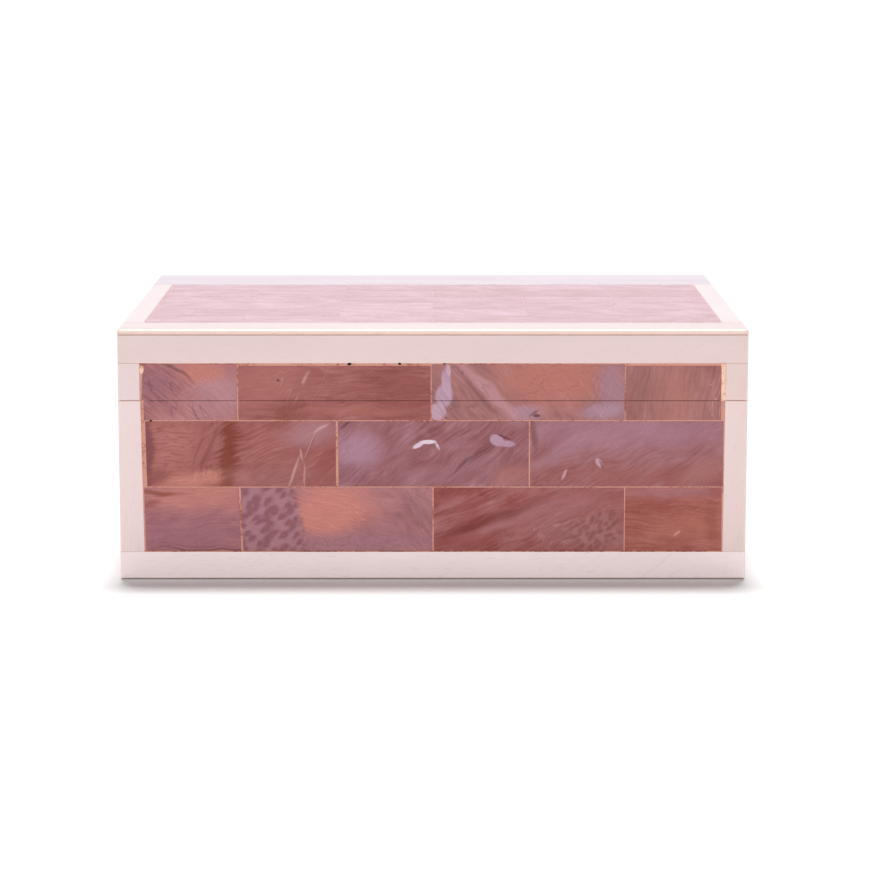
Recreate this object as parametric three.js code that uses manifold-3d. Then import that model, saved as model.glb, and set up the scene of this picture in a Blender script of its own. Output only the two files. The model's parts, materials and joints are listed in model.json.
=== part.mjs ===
// Inlaid wooden box: a wooden carcass faced with bone strips and shell tiles, sawn into a body
// and a lid that swings on two brass stop hinges. Millimetres, +Z up, the front faces -Y, and
// the base felt stands on z = 0.

import * as THREE from 'three';
import { mergeVertices } from 'three/addons/utils/BufferGeometryUtils.js';
import Module from 'manifold-3d';

const wasm = await Module();
wasm.setup();

// ---------------------------------------------------------------- driving dimensions

const WIDTH = 254;
const DEPTH = 203.2;
const HEIGHT = 102.5;

const SKIN = 2.2; // thickness of the bone strips and shell tiles
const GLUE = 0.2; // glue line behind and between pieces
const JOINT = 0.4; // resin joint between neighbouring inlay pieces
const SKIN_FOOT = 0.4; // the skins stop this far above the table

const WALL = 8;
const PANEL = 6; // base panel and lid top panel
const FELT = 1.4; // base felt, and the lowest piece of the box
const FELT_INSET = 1;

const SEAM = 73.5; // height of the saw cut between body and lid
const KERF = 0.4;

// Heights of the course and rail lines, shared by all four sides.
const RAIL_LOW = 11.6; // top of the bottom rail
const COURSE_LOW = 38.1; // top of the lower tile course
const COURSE_MID = 65.3; // top of the middle tile course
const RAIL_HIGH = 88.6; // bottom of the top rail, above the course that the saw cut crosses

const STILE = 9; // width of the upright strips
const TILE_PITCH = 78; // tile length and joint on the front, the back and the lid's top
const SIDE_TILES = 2.5; // tiles in each course of the two sides
const TOP_COURSES = 6;
const TOP_FRONT_STRIP = 22;
const TOP_BACK_STRIP = 40.4;
const GROOVE_DEPTH = 0.5; // joint lines cut into the joined tile fields

const LINING = 1.2; // velvet on card
const LINING_DROP = 3; // the linings stop this far from the saw cut
const PAD = 4.5; // padded floor of the body
const PAD_GAP = 0.4;
const LID_PAD = 2; // padded ceiling of the lid

const HINGE_X = 72; // hinge centres, left and right of the middle
const HINGE_WIDTH = 25;
const AXIS_OUT = 0.4; // the hinge axis lies this far behind the back face
const KNUCKLE_R = 2;
const PIN_R = 0.75;
const PIN_HOLE_R = 0.84;
const LEAF = 1.2; // leaf thickness
const LEAF_DEPTH = 9.4; // from the hinge axis to the leaf's inner edge
const LEAF_FACE = 0.1; // each leaf's face lies this far from the middle of the saw cut
const KNUCKLE_GAP = 0.2;
const KNUCKLE_CLEAR = 0.25; // radial room around the other leaf's knuckles
const HEEL_R = 3.8; // reach of the stop heels from the hinge axis
const HEEL_ANGLE = THREE.MathUtils.degToRad(50.5); // heel faces, up and down from the saw cut
const MORTISE_GAP = 0.15;
const ROUND = 24; // segments of the knuckles, pins and holes

const SCREW_X = 7.5; // screws, left and right of a hinge's middle
const SCREW_IN = 5.8; // from the hinge axis
const SCREW_HEAD_R = 1.9;
const SCREW_HEAD = 0.95;
const SCREW_R = 0.8;
const SCREW_LENGTH = 7;
const SCREW_POINT = 1; // length of the point
const SCREW_SINK = 0.05; // head below the leaf's face
const SCREW_GAP = 0.15;
const SLOT_WIDTH = 0.45;
const SLOT_DEPTH = 0.4;
const SCREW_ROUND = 16;

// ---------------------------------------------------------------- derived sizes

const TOP_UNDER = HEIGHT - SKIN; // underside of the top skin
const SKIN_TOP = TOP_UNDER - GLUE; // top edge of the side skins, and of the wooden top panel
const CARCASS_X = WIDTH / 2 - SKIN - GLUE;
const CARCASS_Y = DEPTH / 2 - SKIN - GLUE;
const CARCASS_FOOT = FELT + GLUE;
const BODY_RIM = SEAM - KERF / 2;
const LID_RIM = SEAM + KERF / 2;
const LID_CEILING = SKIN_TOP - PANEL;
const INNER_X = CARCASS_X - WALL;
const INNER_Y = CARCASS_Y - WALL;
const FLOOR = CARCASS_FOOT + PANEL;
const AXIS_Y = DEPTH / 2 + AXIS_OUT;
const HINGE_PROUD = AXIS_OUT + HEEL_R * Math.cos(HEEL_ANGLE);
const SIDE_HALF = DEPTH / 2 - SKIN - GLUE; // the side skins end behind the front and back skins

// ---------------------------------------------------------------- materials

const finish = (color, roughness, metalness = 0) => () =>
  new THREE.MeshStandardMaterial({ color, roughness, metalness });

const wood = finish(0xb98a5e, 0.7);
const brass = finish(0xc39a4e, 0.35, 1);
const steel = finish(0xa8a294, 0.4, 1);
const bone = finish(0xeddad2, 0.4);
const shell = finish(0xb0808a, 0.3);
const rosyShell = finish(0xb77a70, 0.3);
const velvet = finish(0x6e1f33, 0.95);
const felt = finish(0x3a2a2c, 0.95);

// ---------------------------------------------------------------- solids

// Turns a closed three.js geometry into a solid that can be cut and joined.
function toSolid(geometry) {
  const plain = geometry.clone();
  plain.deleteAttribute('normal');
  plain.deleteAttribute('uv');
  const merged = mergeVertices(plain, 1e-4);
  const vertProperties = new Float32Array(merged.attributes.position.array);
  const triVerts = new Uint32Array(merged.index.array);
  return new wasm.Manifold(new wasm.Mesh({ numProp: 3, vertProperties, triVerts }));
}

function toGeometry(solid) {
  const { vertProperties, triVerts } = solid.getMesh();
  const geometry = new THREE.BufferGeometry();
  geometry.setAttribute('position', new THREE.BufferAttribute(vertProperties, 3));
  geometry.setIndex(new THREE.BufferAttribute(triVerts, 1));
  geometry.computeVertexNormals();
  return geometry;
}

function subtractAll(solid, tools) {
  return tools.reduce((left, tool) => left.subtract(tool), solid);
}

function join(geometries) {
  return geometries.map(toSolid).reduce((whole, part) => whole.add(part));
}

function cut(geometry, cutters) {
  return toGeometry(subtractAll(toSolid(geometry), cutters.map(toSolid)));
}

// A block between two corners, given as [low, high] along each axis.
function block([x0, x1], [y0, y1], [z0, z1]) {
  const geometry = new THREE.BoxGeometry(x1 - x0, y1 - y0, z1 - z0);
  return geometry.translate((x0 + x1) / 2, (y0 + y1) / 2, (z0 + z1) / 2);
}

// A round bar along X.
function barX(radius, [x0, x1], segments = ROUND) {
  const geometry = new THREE.CylinderGeometry(radius, radius, x1 - x0, segments);
  return geometry.rotateZ(Math.PI / 2).translate((x0 + x1) / 2, 0, 0);
}

// A prism along X with its outline in the Y-Z plane.
function prismX(points, [x0, x1]) {
  const outline = new THREE.Shape(points.map(([y, z]) => new THREE.Vector2(y, z)));
  const geometry = new THREE.ExtrudeGeometry(outline, { depth: x1 - x0, bevelEnabled: false });
  return geometry.rotateX(Math.PI / 2).rotateZ(Math.PI / 2).translate(x0, 0, 0);
}

// A turned piece on the Z axis, from [radius, height] points that start and end on the axis.
function turned(points, segments) {
  const profile = points.map(([r, z]) => new THREE.Vector2(r, z));
  return new THREE.LatheGeometry(profile, segments).rotateX(Math.PI / 2);
}

function addPiece(parent, name, material, geometry) {
  const mesh = new THREE.Mesh(geometry, material());
  mesh.name = name;
  parent.add(mesh);
  return mesh;
}

// ---------------------------------------------------------------- the box and its parts

const box = new THREE.Group();
const inlaidBox = new THREE.Group();
inlaidBox.position.y = -HINGE_PROUD / 2; // puts the origin midway between front face and heels
box.add(inlaidBox);

const hingeCentres = { left: -HINGE_X, right: HINGE_X };

// Room for the leaves and knuckles of both hinges in a piece of the back, at the saw cut.
// The hinge axis is at axisY, and the leaves reach from it towards y = 0.
function hingeMortises(axisY) {
  const reach = HINGE_WIDTH / 2 + MORTISE_GAP;
  const room = KNUCKLE_R + KNUCKLE_CLEAR;
  const leafRoom = LEAF_FACE + LEAF + MORTISE_GAP;
  const leafEnd = axisY - Math.sign(axisY) * (LEAF_DEPTH + MORTISE_GAP);
  const leafSpan = [Math.min(axisY, leafEnd), Math.max(axisY, leafEnd)];
  return Object.values(hingeCentres).flatMap((x) => {
    const along = [x - reach, x + reach];
    return [
      block(along, [axisY - room, axisY + room], [SEAM - room, SEAM + room]),
      block(along, leafSpan, [SEAM - leafRoom, SEAM + leafRoom]),
    ];
  });
}

// Screw holes in the two back walls, one above the other at each screw.
function screwHoles() {
  const radius = SCREW_R + SCREW_GAP;
  return Object.values(hingeCentres).flatMap((x) =>
    [-SCREW_X, SCREW_X].map((dx) => {
      const hole = new THREE.CylinderGeometry(radius, radius, 2 * (SCREW_LENGTH + 1), SCREW_ROUND);
      return hole.rotateX(Math.PI / 2).translate(x + dx, AXIS_Y - SCREW_IN, SEAM);
    }),
  );
}

// Four walls round the inside: the front and back walls run the full width.
function addWalls(part, heights) {
  const full = [-CARCASS_X, CARCASS_X];
  const between = [-INNER_Y + GLUE, INNER_Y - GLUE];
  const backWall = block(full, [INNER_Y, CARCASS_Y], heights);
  addPiece(inlaidBox, `${part}_front_wall`, wood, block(full, [-CARCASS_Y, -INNER_Y], heights));
  const cutters = [...hingeMortises(AXIS_Y), ...screwHoles()];
  addPiece(inlaidBox, `${part}_back_wall`, wood, cut(backWall, cutters));
  addPiece(inlaidBox, `${part}_left_wall`, wood, block([-CARCASS_X, -INNER_X], between, heights));
  addPiece(inlaidBox, `${part}_right_wall`, wood, block([INNER_X, CARCASS_X], between, heights));
}

function addCarcass() {
  addWalls('body', [CARCASS_FOOT, BODY_RIM]);
  addWalls('lid', [LID_RIM, LID_CEILING - GLUE]);
  const letInX = [-INNER_X + GLUE, INNER_X - GLUE];
  const letInY = [-INNER_Y + GLUE, INNER_Y - GLUE];
  addPiece(inlaidBox, 'body_base_panel', wood, block(letInX, letInY, [CARCASS_FOOT, FLOOR]));
  const lidTop = block([-CARCASS_X, CARCASS_X], [-CARCASS_Y, CARCASS_Y], [LID_CEILING, SKIN_TOP]);
  addPiece(inlaidBox, 'lid_top_panel', wood, lidTop);
}

function addLinings() {
  const outerX = INNER_X - GLUE;
  const outerY = INNER_Y - GLUE;
  const innerX = outerX - LINING;
  const innerY = outerY - LINING;
  const padX = innerX - PAD_GAP;
  const padY = innerY - PAD_GAP;
  const outline = (x, y, heights) => block([-x, x], [-y, y], heights);

  const foot = FLOOR + GLUE;
  const ring = outline(outerX, outerY, [foot, BODY_RIM - LINING_DROP]);
  const well = outline(innerX, innerY, [foot - 1, BODY_RIM]);
  addPiece(inlaidBox, 'body_wall_lining', velvet, cut(ring, [well]));
  addPiece(inlaidBox, 'body_floor_pad', velvet, outline(padX, padY, [foot, foot + PAD]));

  const tray = outline(outerX, outerY, [LID_RIM + LINING_DROP, LID_CEILING - 2 * GLUE]);
  const recess = outline(innerX, innerY, [LID_RIM, LID_CEILING - 2 * GLUE - LID_PAD]);
  addPiece(inlaidBox, 'lid_lining', velvet, cut(tray, [recess]));

  const feltX = CARCASS_X - FELT_INSET;
  const feltY = CARCASS_Y - FELT_INSET;
  addPiece(inlaidBox, 'base_felt', felt, outline(feltX, feltY, [0, FELT]));
}

// ---------------------------------------------------------------- hinges

// The outline of a stop heel: a wedge behind the axis whose face meets the other leaf's heel
// when the lid is fully open. It stands above the saw cut for side = 1 and hangs below for -1.
function heelOutline(side) {
  const y = HEEL_R * Math.cos(HEEL_ANGLE);
  const z = HEEL_R * Math.sin(HEEL_ANGLE);
  const points = [[0, 0], [y, side * z], [0, side * HEEL_R]];
  return side > 0 ? points : points.reverse();
}

const third = HINGE_WIDTH / 3;
const half = HINGE_WIDTH / 2;
const knuckleSpans = {
  body: [[-half, -third / 2 - KNUCKLE_GAP / 2], [third / 2 + KNUCKLE_GAP / 2, half]],
  lid: [[-third / 2 + KNUCKLE_GAP / 2, third / 2 - KNUCKLE_GAP / 2]],
};

// A leaf with its knuckles and stop heel, its hinge axis on the X axis of its own frame.
function leafGeometry(owner, side) {
  const other = owner === 'body' ? 'lid' : 'body';
  const plate = block(
    [-half, half],
    [-LEAF_DEPTH, 0],
    side > 0 ? [LEAF_FACE, LEAF_FACE + LEAF] : [-LEAF_FACE - LEAF, -LEAF_FACE],
  );
  const heel = prismX(heelOutline(side), [-half, half]);
  const room = knuckleSpans[other].map(([x0, x1]) =>
    barX(KNUCKLE_R + KNUCKLE_CLEAR, [x0 - KNUCKLE_GAP, x1 + KNUCKLE_GAP]),
  );
  const bare = subtractAll(join([plate, heel]), room.map(toSolid));
  const knuckles = join(knuckleSpans[owner].map((span) => barX(KNUCKLE_R, span)));
  const pinHole = toSolid(barX(PIN_HOLE_R, [-half - 1, half + 1]));
  const sinks = [-SCREW_X, SCREW_X].map((x) => {
    const mouth = SCREW_HEAD_R + SCREW_GAP;
    const bore = SCREW_R + SCREW_GAP;
    const sink = turned(
      [[0, -LEAF - 1], [bore, -LEAF - 1], [bore, -SCREW_HEAD], [mouth, 0], [mouth, 1], [0, 1]],
      SCREW_ROUND,
    );
    if (side > 0) sink.rotateX(Math.PI);
    return toSolid(sink.translate(x, -SCREW_IN, side * LEAF_FACE));
  });
  return toGeometry(subtractAll(bare.add(knuckles), [pinHole, ...sinks]));
}

// A slotted countersunk screw, head up, with the top of its head at z = 0.
function screwGeometry() {
  const tip = [[0, -SCREW_LENGTH], [SCREW_R, SCREW_POINT - SCREW_LENGTH]];
  const head = [[SCREW_R, -SCREW_HEAD], [SCREW_HEAD_R, 0], [0, 0]];
  const profile = [...tip, ...head];
  const across = [-2 * SCREW_HEAD_R, 2 * SCREW_HEAD_R];
  const slot = block(across, [-SLOT_WIDTH / 2, SLOT_WIDTH / 2], [-SLOT_DEPTH, 1]);
  return cut(turned(profile, SCREW_ROUND), [slot]);
}

function addHinge(sideName, x) {
  const hinge = new THREE.Group();
  hinge.position.set(x, AXIS_Y, SEAM);
  inlaidBox.add(hinge);
  for (const [owner, side] of [['body', -1], ['lid', 1]]) {
    addPiece(hinge, `${sideName}_hinge_${owner}_leaf`, brass, leafGeometry(owner, side));
    [-SCREW_X, SCREW_X].forEach((screwX, i) => {
      const name = `${sideName}_hinge_${owner}_screw_${i + 1}`;
      const screw = addPiece(hinge, name, steel, screwGeometry());
      screw.position.set(screwX, -SCREW_IN, side * (LEAF_FACE + SCREW_SINK));
      if (side > 0) screw.rotation.x = Math.PI;
    });
  }
  addPiece(hinge, `${sideName}_hinge_pin`, brass, barX(PIN_R, [-half, half], SCREW_ROUND));
}

// ---------------------------------------------------------------- inlay

// Each face of the box is a group turned about Z. In its own frame a face looks towards -Y,
// u runs to the right as a viewer sees it, and the skin's outer surface is at y = -reach.
const faces = {
  front: { turn: 0, reach: DEPTH / 2, halfWidth: WIDTH / 2 },
  right: { turn: Math.PI / 2, reach: WIDTH / 2, halfWidth: SIDE_HALF },
  back: { turn: Math.PI, reach: DEPTH / 2, halfWidth: WIDTH / 2 },
  left: { turn: -Math.PI / 2, reach: WIDTH / 2, halfWidth: SIDE_HALF },
};
for (const face of Object.values(faces)) {
  face.group = new THREE.Group();
  face.group.rotation.z = face.turn;
  inlaidBox.add(face.group);
}

// Positions of the upright joints of one course: whole tiles, or a half tile at each end on
// the front and back; two and a half tiles on the sides, the half tile at alternate ends.
function jointsOf(face, course) {
  const even = course % 2 === 0;
  if (face.halfWidth === WIDTH / 2) {
    return even ? [-TILE_PITCH, 0, TILE_PITCH] : [-TILE_PITCH / 2, TILE_PITCH / 2];
  }
  const inner = face.halfWidth - STILE;
  const pitch = (2 * inner) / SIDE_TILES;
  return even ? [-inner + pitch / 2, inner - pitch] : [-inner + pitch, inner - pitch / 2];
}

// A slab of skin on a face, between two uprights and two heights.
function slab(face, [u0, u1], [z0, z1]) {
  return block([u0, u1], [-face.reach, -face.reach + SKIN], [z0, z1]);
}

// A groove in the face of a joined tile field.
function groove(face, [u0, u1], [z0, z1]) {
  return block([u0, u1], [-face.reach - 1, -face.reach + GROOVE_DEPTH], [z0, z1]);
}

// The courses of one part of the box, counted from the bottom, cut at the saw cut.
const courses = {
  body: [
    { index: 0, z: [RAIL_LOW, COURSE_LOW] },
    { index: 1, z: [COURSE_LOW, COURSE_MID] },
    { index: 2, z: [COURSE_MID, BODY_RIM + JOINT / 2] },
  ],
  lid: [{ index: 2, z: [LID_RIM - JOINT / 2, RAIL_HIGH] }],
};
const gap = JOINT / 2;

// All tiles of a face that belong to the body or the lid, as one piece with grooved joints.
function fieldGeometry(face, list) {
  const inner = face.halfWidth - STILE - gap;
  const low = list[0].z[0];
  const high = list[list.length - 1].z[1];
  const uprights = list.flatMap(({ index, z }) =>
    jointsOf(face, index).map((u) => groove(face, [u - gap, u + gap], z)),
  );
  const across = [-inner - 1, inner + 1];
  const levels = list.slice(1).map(({ z }) => groove(face, across, [z[0] - gap, z[0] + gap]));
  const mortises = face === faces.back ? hingeMortises(-AXIS_Y) : [];
  const plate = slab(face, [-inner, inner], [low + gap, high - gap]);
  return cut(plate, [...uprights, ...levels, ...mortises]);
}

// The rail and two stiles of a face, joined at the corners: a U on the body, an arch on the lid.
function borderGeometry(face, part) {
  const outer = face.halfWidth;
  const inner = outer - STILE + gap;
  const [edge, railInner, rim] = part === 'lid'
    ? [SKIN_TOP, RAIL_HIGH + gap, LID_RIM]
    : [SKIN_FOOT, RAIL_LOW - gap, BODY_RIM];
  const rail = slab(face, [-outer, outer], [Math.min(edge, railInner), Math.max(edge, railInner)]);
  const heights = [Math.min(edge, rim), Math.max(edge, rim)];
  const stiles = [[-outer, -inner], [inner, outer]].map((span) => slab(face, span, heights));
  return toGeometry(join([rail, ...stiles]));
}

function addJoinedFace(name) {
  const face = faces[name];
  for (const part of ['body', 'lid']) {
    addPiece(face.group, `${part}_${name}_border`, bone, borderGeometry(face, part));
    addPiece(face.group, `${part}_${name}_tile_field`, shell, fieldGeometry(face, courses[part]));
  }
}

// The front: separate strips, separate tiles below, and the course that the saw cut crosses.
function addFront() {
  const face = faces.front;
  const outer = face.halfWidth;
  const inner = outer - STILE + gap;
  const add = (name, material, span, heights) =>
    addPiece(face.group, name, material, slab(face, span, heights));

  add('lid_front_rail', bone, [-outer, outer], [RAIL_HIGH + gap, SKIN_TOP]);
  add('body_front_rail', bone, [-outer, outer], [SKIN_FOOT, RAIL_LOW - gap]);
  for (const [side, span] of [['left', [-outer, -inner]], ['right', [inner, outer]]]) {
    add(`lid_front_${side}_stile`, bone, span, [LID_RIM, RAIL_HIGH - gap]);
    add(`body_front_${side}_stile`, bone, span, [RAIL_LOW + gap, BODY_RIM]);
  }

  const [lower, middle, upper] = courses.body;
  for (const [label, course, material] of [['lower', lower, shell], ['middle', middle, rosyShell]]) {
    const ends = [-outer + STILE, ...jointsOf(face, course.index), outer - STILE];
    ends.slice(1).forEach((end, i) => {
      const span = [ends[i] + gap, end - gap];
      add(`front_${label}_tile_${i + 1}`, material, span, [course.z[0] + gap, course.z[1] - gap]);
    });
  }
  addPiece(face.group, 'body_front_upper_tiles', shell, fieldGeometry(face, [upper]));
  addPiece(face.group, 'lid_front_upper_tiles', shell, fieldGeometry(face, courses.lid));
}

// The lid's top: four bone strips round a field of six courses in running bond.
function addTop() {
  const top = [TOP_UNDER, HEIGHT];
  const x = WIDTH / 2;
  const y = DEPTH / 2;
  const fieldX = x - STILE;
  const [front, back] = [-y + TOP_FRONT_STRIP, y - TOP_BACK_STRIP];
  const sideY = [front + gap, back - gap];
  addPiece(inlaidBox, 'top_front_strip', bone, block([-x, x], [-y, front - gap], top));
  addPiece(inlaidBox, 'top_back_strip', bone, block([-x, x], [back + gap, y], top));
  addPiece(inlaidBox, 'top_left_strip', bone, block([-x, -fieldX - gap], sideY, top));
  addPiece(inlaidBox, 'top_right_strip', bone, block([fieldX + gap, x], sideY, top));

  const pitch = (back - front) / TOP_COURSES;
  const cuts = [];
  for (let course = 0; course < TOP_COURSES; course += 1) {
    const y0 = front + course * pitch;
    const groovesZ = [HEIGHT - GROOVE_DEPTH, HEIGHT + 1];
    for (const u of jointsOf(faces.front, course)) {
      cuts.push(block([u - gap, u + gap], [y0, y0 + pitch], groovesZ));
    }
    if (course > 0) cuts.push(block([-x, x], [y0 - gap, y0 + gap], groovesZ));
  }
  const field = block([-fieldX + gap, fieldX - gap], sideY, top);
  addPiece(inlaidBox, 'top_tile_field', shell, cut(field, cuts));
}

addCarcass();
addLinings();
for (const [sideName, x] of Object.entries(hingeCentres)) addHinge(sideName, x);
addFront();
for (const name of ['back', 'left', 'right']) addJoinedFace(name);
addTop();

export default box;
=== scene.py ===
"""An inlaid keepsake box: a wooden carcass faced with bone strips and dyed shell tiles, with a hinged lid.

Lengths inside the classes are millimetres; meshes are written in metres. Every finished piece sits at the
origin with its place in its mesh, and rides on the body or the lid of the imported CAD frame.
"""

from __future__ import annotations

import json
import logging
import math
from dataclasses import dataclass
from enum import Enum
from functools import partial
from itertools import product
from typing import Any, Callable, ClassVar, Iterable

import bpy
import numpy as np
from bpy.types import Material, Mesh, Node, NodeSocket, NodeTree, Object
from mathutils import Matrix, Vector, noise

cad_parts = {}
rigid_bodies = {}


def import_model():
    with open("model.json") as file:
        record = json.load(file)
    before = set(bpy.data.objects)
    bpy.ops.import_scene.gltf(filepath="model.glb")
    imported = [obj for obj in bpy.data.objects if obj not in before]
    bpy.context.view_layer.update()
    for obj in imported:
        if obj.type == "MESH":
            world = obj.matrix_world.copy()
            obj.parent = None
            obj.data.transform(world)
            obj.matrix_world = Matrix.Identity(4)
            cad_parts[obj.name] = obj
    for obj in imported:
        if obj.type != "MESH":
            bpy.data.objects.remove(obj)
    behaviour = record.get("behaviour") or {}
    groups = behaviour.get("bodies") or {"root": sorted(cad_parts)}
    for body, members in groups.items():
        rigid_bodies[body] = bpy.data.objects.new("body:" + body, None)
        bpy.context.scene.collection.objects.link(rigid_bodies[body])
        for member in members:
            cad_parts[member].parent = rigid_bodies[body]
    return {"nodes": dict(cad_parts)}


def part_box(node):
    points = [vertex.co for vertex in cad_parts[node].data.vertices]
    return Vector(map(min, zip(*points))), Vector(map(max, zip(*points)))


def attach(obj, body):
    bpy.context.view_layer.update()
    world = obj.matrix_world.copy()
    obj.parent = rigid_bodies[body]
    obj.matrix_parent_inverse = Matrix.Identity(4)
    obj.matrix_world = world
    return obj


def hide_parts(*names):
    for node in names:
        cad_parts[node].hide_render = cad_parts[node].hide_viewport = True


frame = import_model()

LOG = logging.getLogger("inlaid_box")
MM = 0.001  # metres in a millimetre
FACING = 2.2  # how thick the bone and the shell are, in mm
Triple = tuple[float, float, float]  # a place, a direction or three turns
Corners = tuple[tuple[float, float], ...]  # places on a face
Rings = list[tuple[int, ...]]  # the faces of a mesh, as numbers of points
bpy.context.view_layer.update()  # taken before anything is added

GRAIN = "grain_mm"  # a point's place on its own tile or strip, in mm, with the tile's own number as z
RIM = "rim"  # 1 on a rounded arris, 0 on the flat
CUT = "cut"  # 1 on a sharp cut edge beside a joint or the saw cut, 0 on the flat
TONE = "tone"  # how pale a tile of a field is, 0 to 1
TURN = "turn"  # which way a tile's figure runs, in radians

MATH = "ShaderNodeMath"
VECTOR_MATH = "ShaderNodeVectorMath"
NOISE = "ShaderNodeTexNoise"
MAPPING = "ShaderNodeMapping"
MAP_RANGE = "ShaderNodeMapRange"
MIX = "ShaderNodeMix"
RAMP = "ShaderNodeValToRGB"


class Body(Enum):
    """The two halves that the saw makes of the closed box."""

    BOX = "body"
    LID = "lid"


class Slot(Enum):
    """The record's material slots."""

    BONE = "bone"
    SHELL = "shell"
    VELVET = "velvet"
    FELT = "felt"


# ---- nodes and colours


def add_node(tree: NodeTree, kind: str, inputs: Any = (), **settings: Any) -> Node:
    """Adds one node with its settings and links.

    Args:
        tree: The tree that takes the node.
        kind: The node's type name.
        inputs: Values, sockets or nodes, by socket name or in the order of the sockets in use. None is
            skipped.
        settings: The node's own properties, such as operation.

    Returns:
        The new node.
    """
    node = tree.nodes.new(kind)
    for name, value in settings.items():
        setattr(node, name, value)
    sockets = [socket for socket in node.inputs if socket.enabled]
    named = {socket.name: socket for socket in reversed(sockets)}
    pairs = inputs.items() if isinstance(inputs, dict) else enumerate(inputs)
    for key, value in pairs:
        socket = named[key] if isinstance(key, str) else sockets[key]
        if isinstance(value, Node):
            value = next(out for out in value.outputs if out.enabled)
        if isinstance(value, NodeSocket):
            tree.links.new(value, socket)
        elif value is not None:
            socket.default_value = value
    return node


def linear(hex_colour: str) -> tuple[float, float, float, float]:
    """Turns an sRGB hex colour to linear RGBA.

    Args:
        hex_colour: The colour, as "#rrggbb".

    Returns:
        Red, green, blue and alpha.
    """
    channels = (int(hex_colour[i : i + 2], 16) / 255 for i in (1, 3, 5))
    values = (c / 12.92 if c <= 0.04045 else ((c + 0.055) / 1.055) ** 2.4 for c in channels)
    return (*values, 1.0)


def fill_ramp(node: Node, stops: Iterable[tuple[float, tuple[float, ...]]]) -> Node:
    """Gives a colour ramp its stops.

    Args:
        node: The ramp node.
        stops: Places from 0 to 1 and linear colours, in order.

    Returns:
        The same node.
    """
    wanted = list(stops)
    elements = node.color_ramp.elements
    while len(elements) < len(wanted):
        elements.new(1.0)
    for element, (place, colour) in zip(elements, wanted):
        element.position = place
        element.color = colour
    return node


def new_material(name: str, **shader_inputs: Any) -> tuple[Material, NodeTree, Node]:
    """Starts a material with one Principled shader.

    Args:
        name: The material's name.
        shader_inputs: Constant values for the shader's own sockets, with _ for a space in the socket's name.

    Returns:
        The material, its node tree and its shader node.
    """
    material = bpy.data.materials.new(name)
    material.use_nodes = True
    tree = material.node_tree
    tree.nodes.clear()
    values = {key.replace("_", " "): value for key, value in shader_inputs.items()}
    shader = add_node(tree, "ShaderNodeBsdfPrincipled", values)
    add_node(tree, "ShaderNodeOutputMaterial", {"Surface": shader})
    return material, tree, shader


def dress(material: Material, shader: Node, colour: Any, relief: Any, gloss: Any = None) -> Material:
    """Links a material's colour, relief and roughness to its shader.

    Args:
        material: The material.
        shader: Its shader node.
        colour: The socket that gives the colour.
        relief: The socket that gives the normal.
        gloss: The socket that gives the roughness, if it varies.

    Returns:
        The material.
    """
    for name, socket in (("Base Color", colour), ("Roughness", gloss), ("Normal", relief)):
        if socket is not None:
            material.node_tree.links.new(socket, shader.inputs[name])
    return material


def surface_place(tree: NodeTree) -> NodeSocket:
    """The place on the tile or strip, in mm, as a vector socket."""
    return add_node(tree, "ShaderNodeAttribute", attribute_name=GRAIN).outputs["Vector"]


def object_place(tree: NodeTree) -> Node:
    """The place in Object coordinates turned to mm, as a node."""
    coordinates = add_node(tree, "ShaderNodeTexCoord").outputs["Object"]
    return add_node(tree, VECTOR_MATH, {0: coordinates, "Scale": 1 / MM}, operation="SCALE")


def stroked(
    tree: NodeTree, place: Any, turn: float, stretch: float, width_mm: float, detail: float, rough: float
) -> Node:
    """Noise drawn out in one direction, as grain and growth lines are.

    Args:
        tree: The material's tree.
        place: A vector in mm.
        turn: The direction of the strokes, in degrees from u.
        stretch: How many times longer than wide a stroke is.
        width_mm: The width of a stroke.
        detail: Octaves of the noise.
        rough: How strong the finer octaves are.

    Returns:
        The noise node.
    """
    laid = add_node(
        tree,
        MAPPING,
        {"Vector": place, "Rotation": (0, 0, math.radians(turn)), "Scale": (stretch, 1, 1)},
        vector_type="TEXTURE",
    )
    return add_node(
        tree, NOISE, {"Vector": laid, "Scale": 1 / width_mm, "Detail": detail, "Roughness": rough}
    )


def from_line(
    tree: NodeTree, place: Any, turn: float, stretch: float, spacing_mm: float, detail: float
) -> Node:
    """How far a point is from the nearest of some bending lines.

    Args:
        tree: The material's tree.
        place: A vector in mm.
        turn: The direction of the lines, in degrees from u.
        stretch: How many times further apart their bends are than the lines.
        spacing_mm: The usual distance between lines.
        detail: Octaves of their bending.

    Returns:
        The node that gives the distance, as a share of the noise.
    """
    lines = stroked(tree, place, turn, stretch, spacing_mm, detail, 0.5)
    away = add_node(tree, MATH, (lines, 0.5), operation="SUBTRACT")
    return add_node(tree, MATH, (away,), operation="ABSOLUTE")


# ---- finishes

SEEN_GAIN = 0.90  # light falling on the front, against a plain white card
POLISH_VEIL = 0.021  # what the polish adds to a front colour, in linear light


def under_polish(hex_colour: str) -> tuple[float, float, float, float]:
    """The base colour under a polished surface that looks like hex_colour in the studio's light."""
    red, green, blue, alpha = linear(hex_colour)
    return tuple(min(0.95, max(0.004, (c - POLISH_VEIL) / SEEN_GAIN)) for c in (red, green, blue)) + (alpha,)


@dataclass(frozen=True)
class Patch:
    """A cloud, chip or stroke of another colour in a tile, by mm from the tile's middle."""

    u: float
    v: float
    half_u: float
    half_v: float
    colour: str
    turn: float = 0.0
    strength: float = 0.6
    soft: float = 0.7
    ragged: float = 0.9


def zone(u: float, v: float, half_u: float, half_v: float, **shape: float) -> Patch:
    """A patch that only says where, with no colour of its own."""
    return Patch(u, v, half_u, half_v, "", **{"strength": 1.0, "soft": 0.5, **shape})


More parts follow.
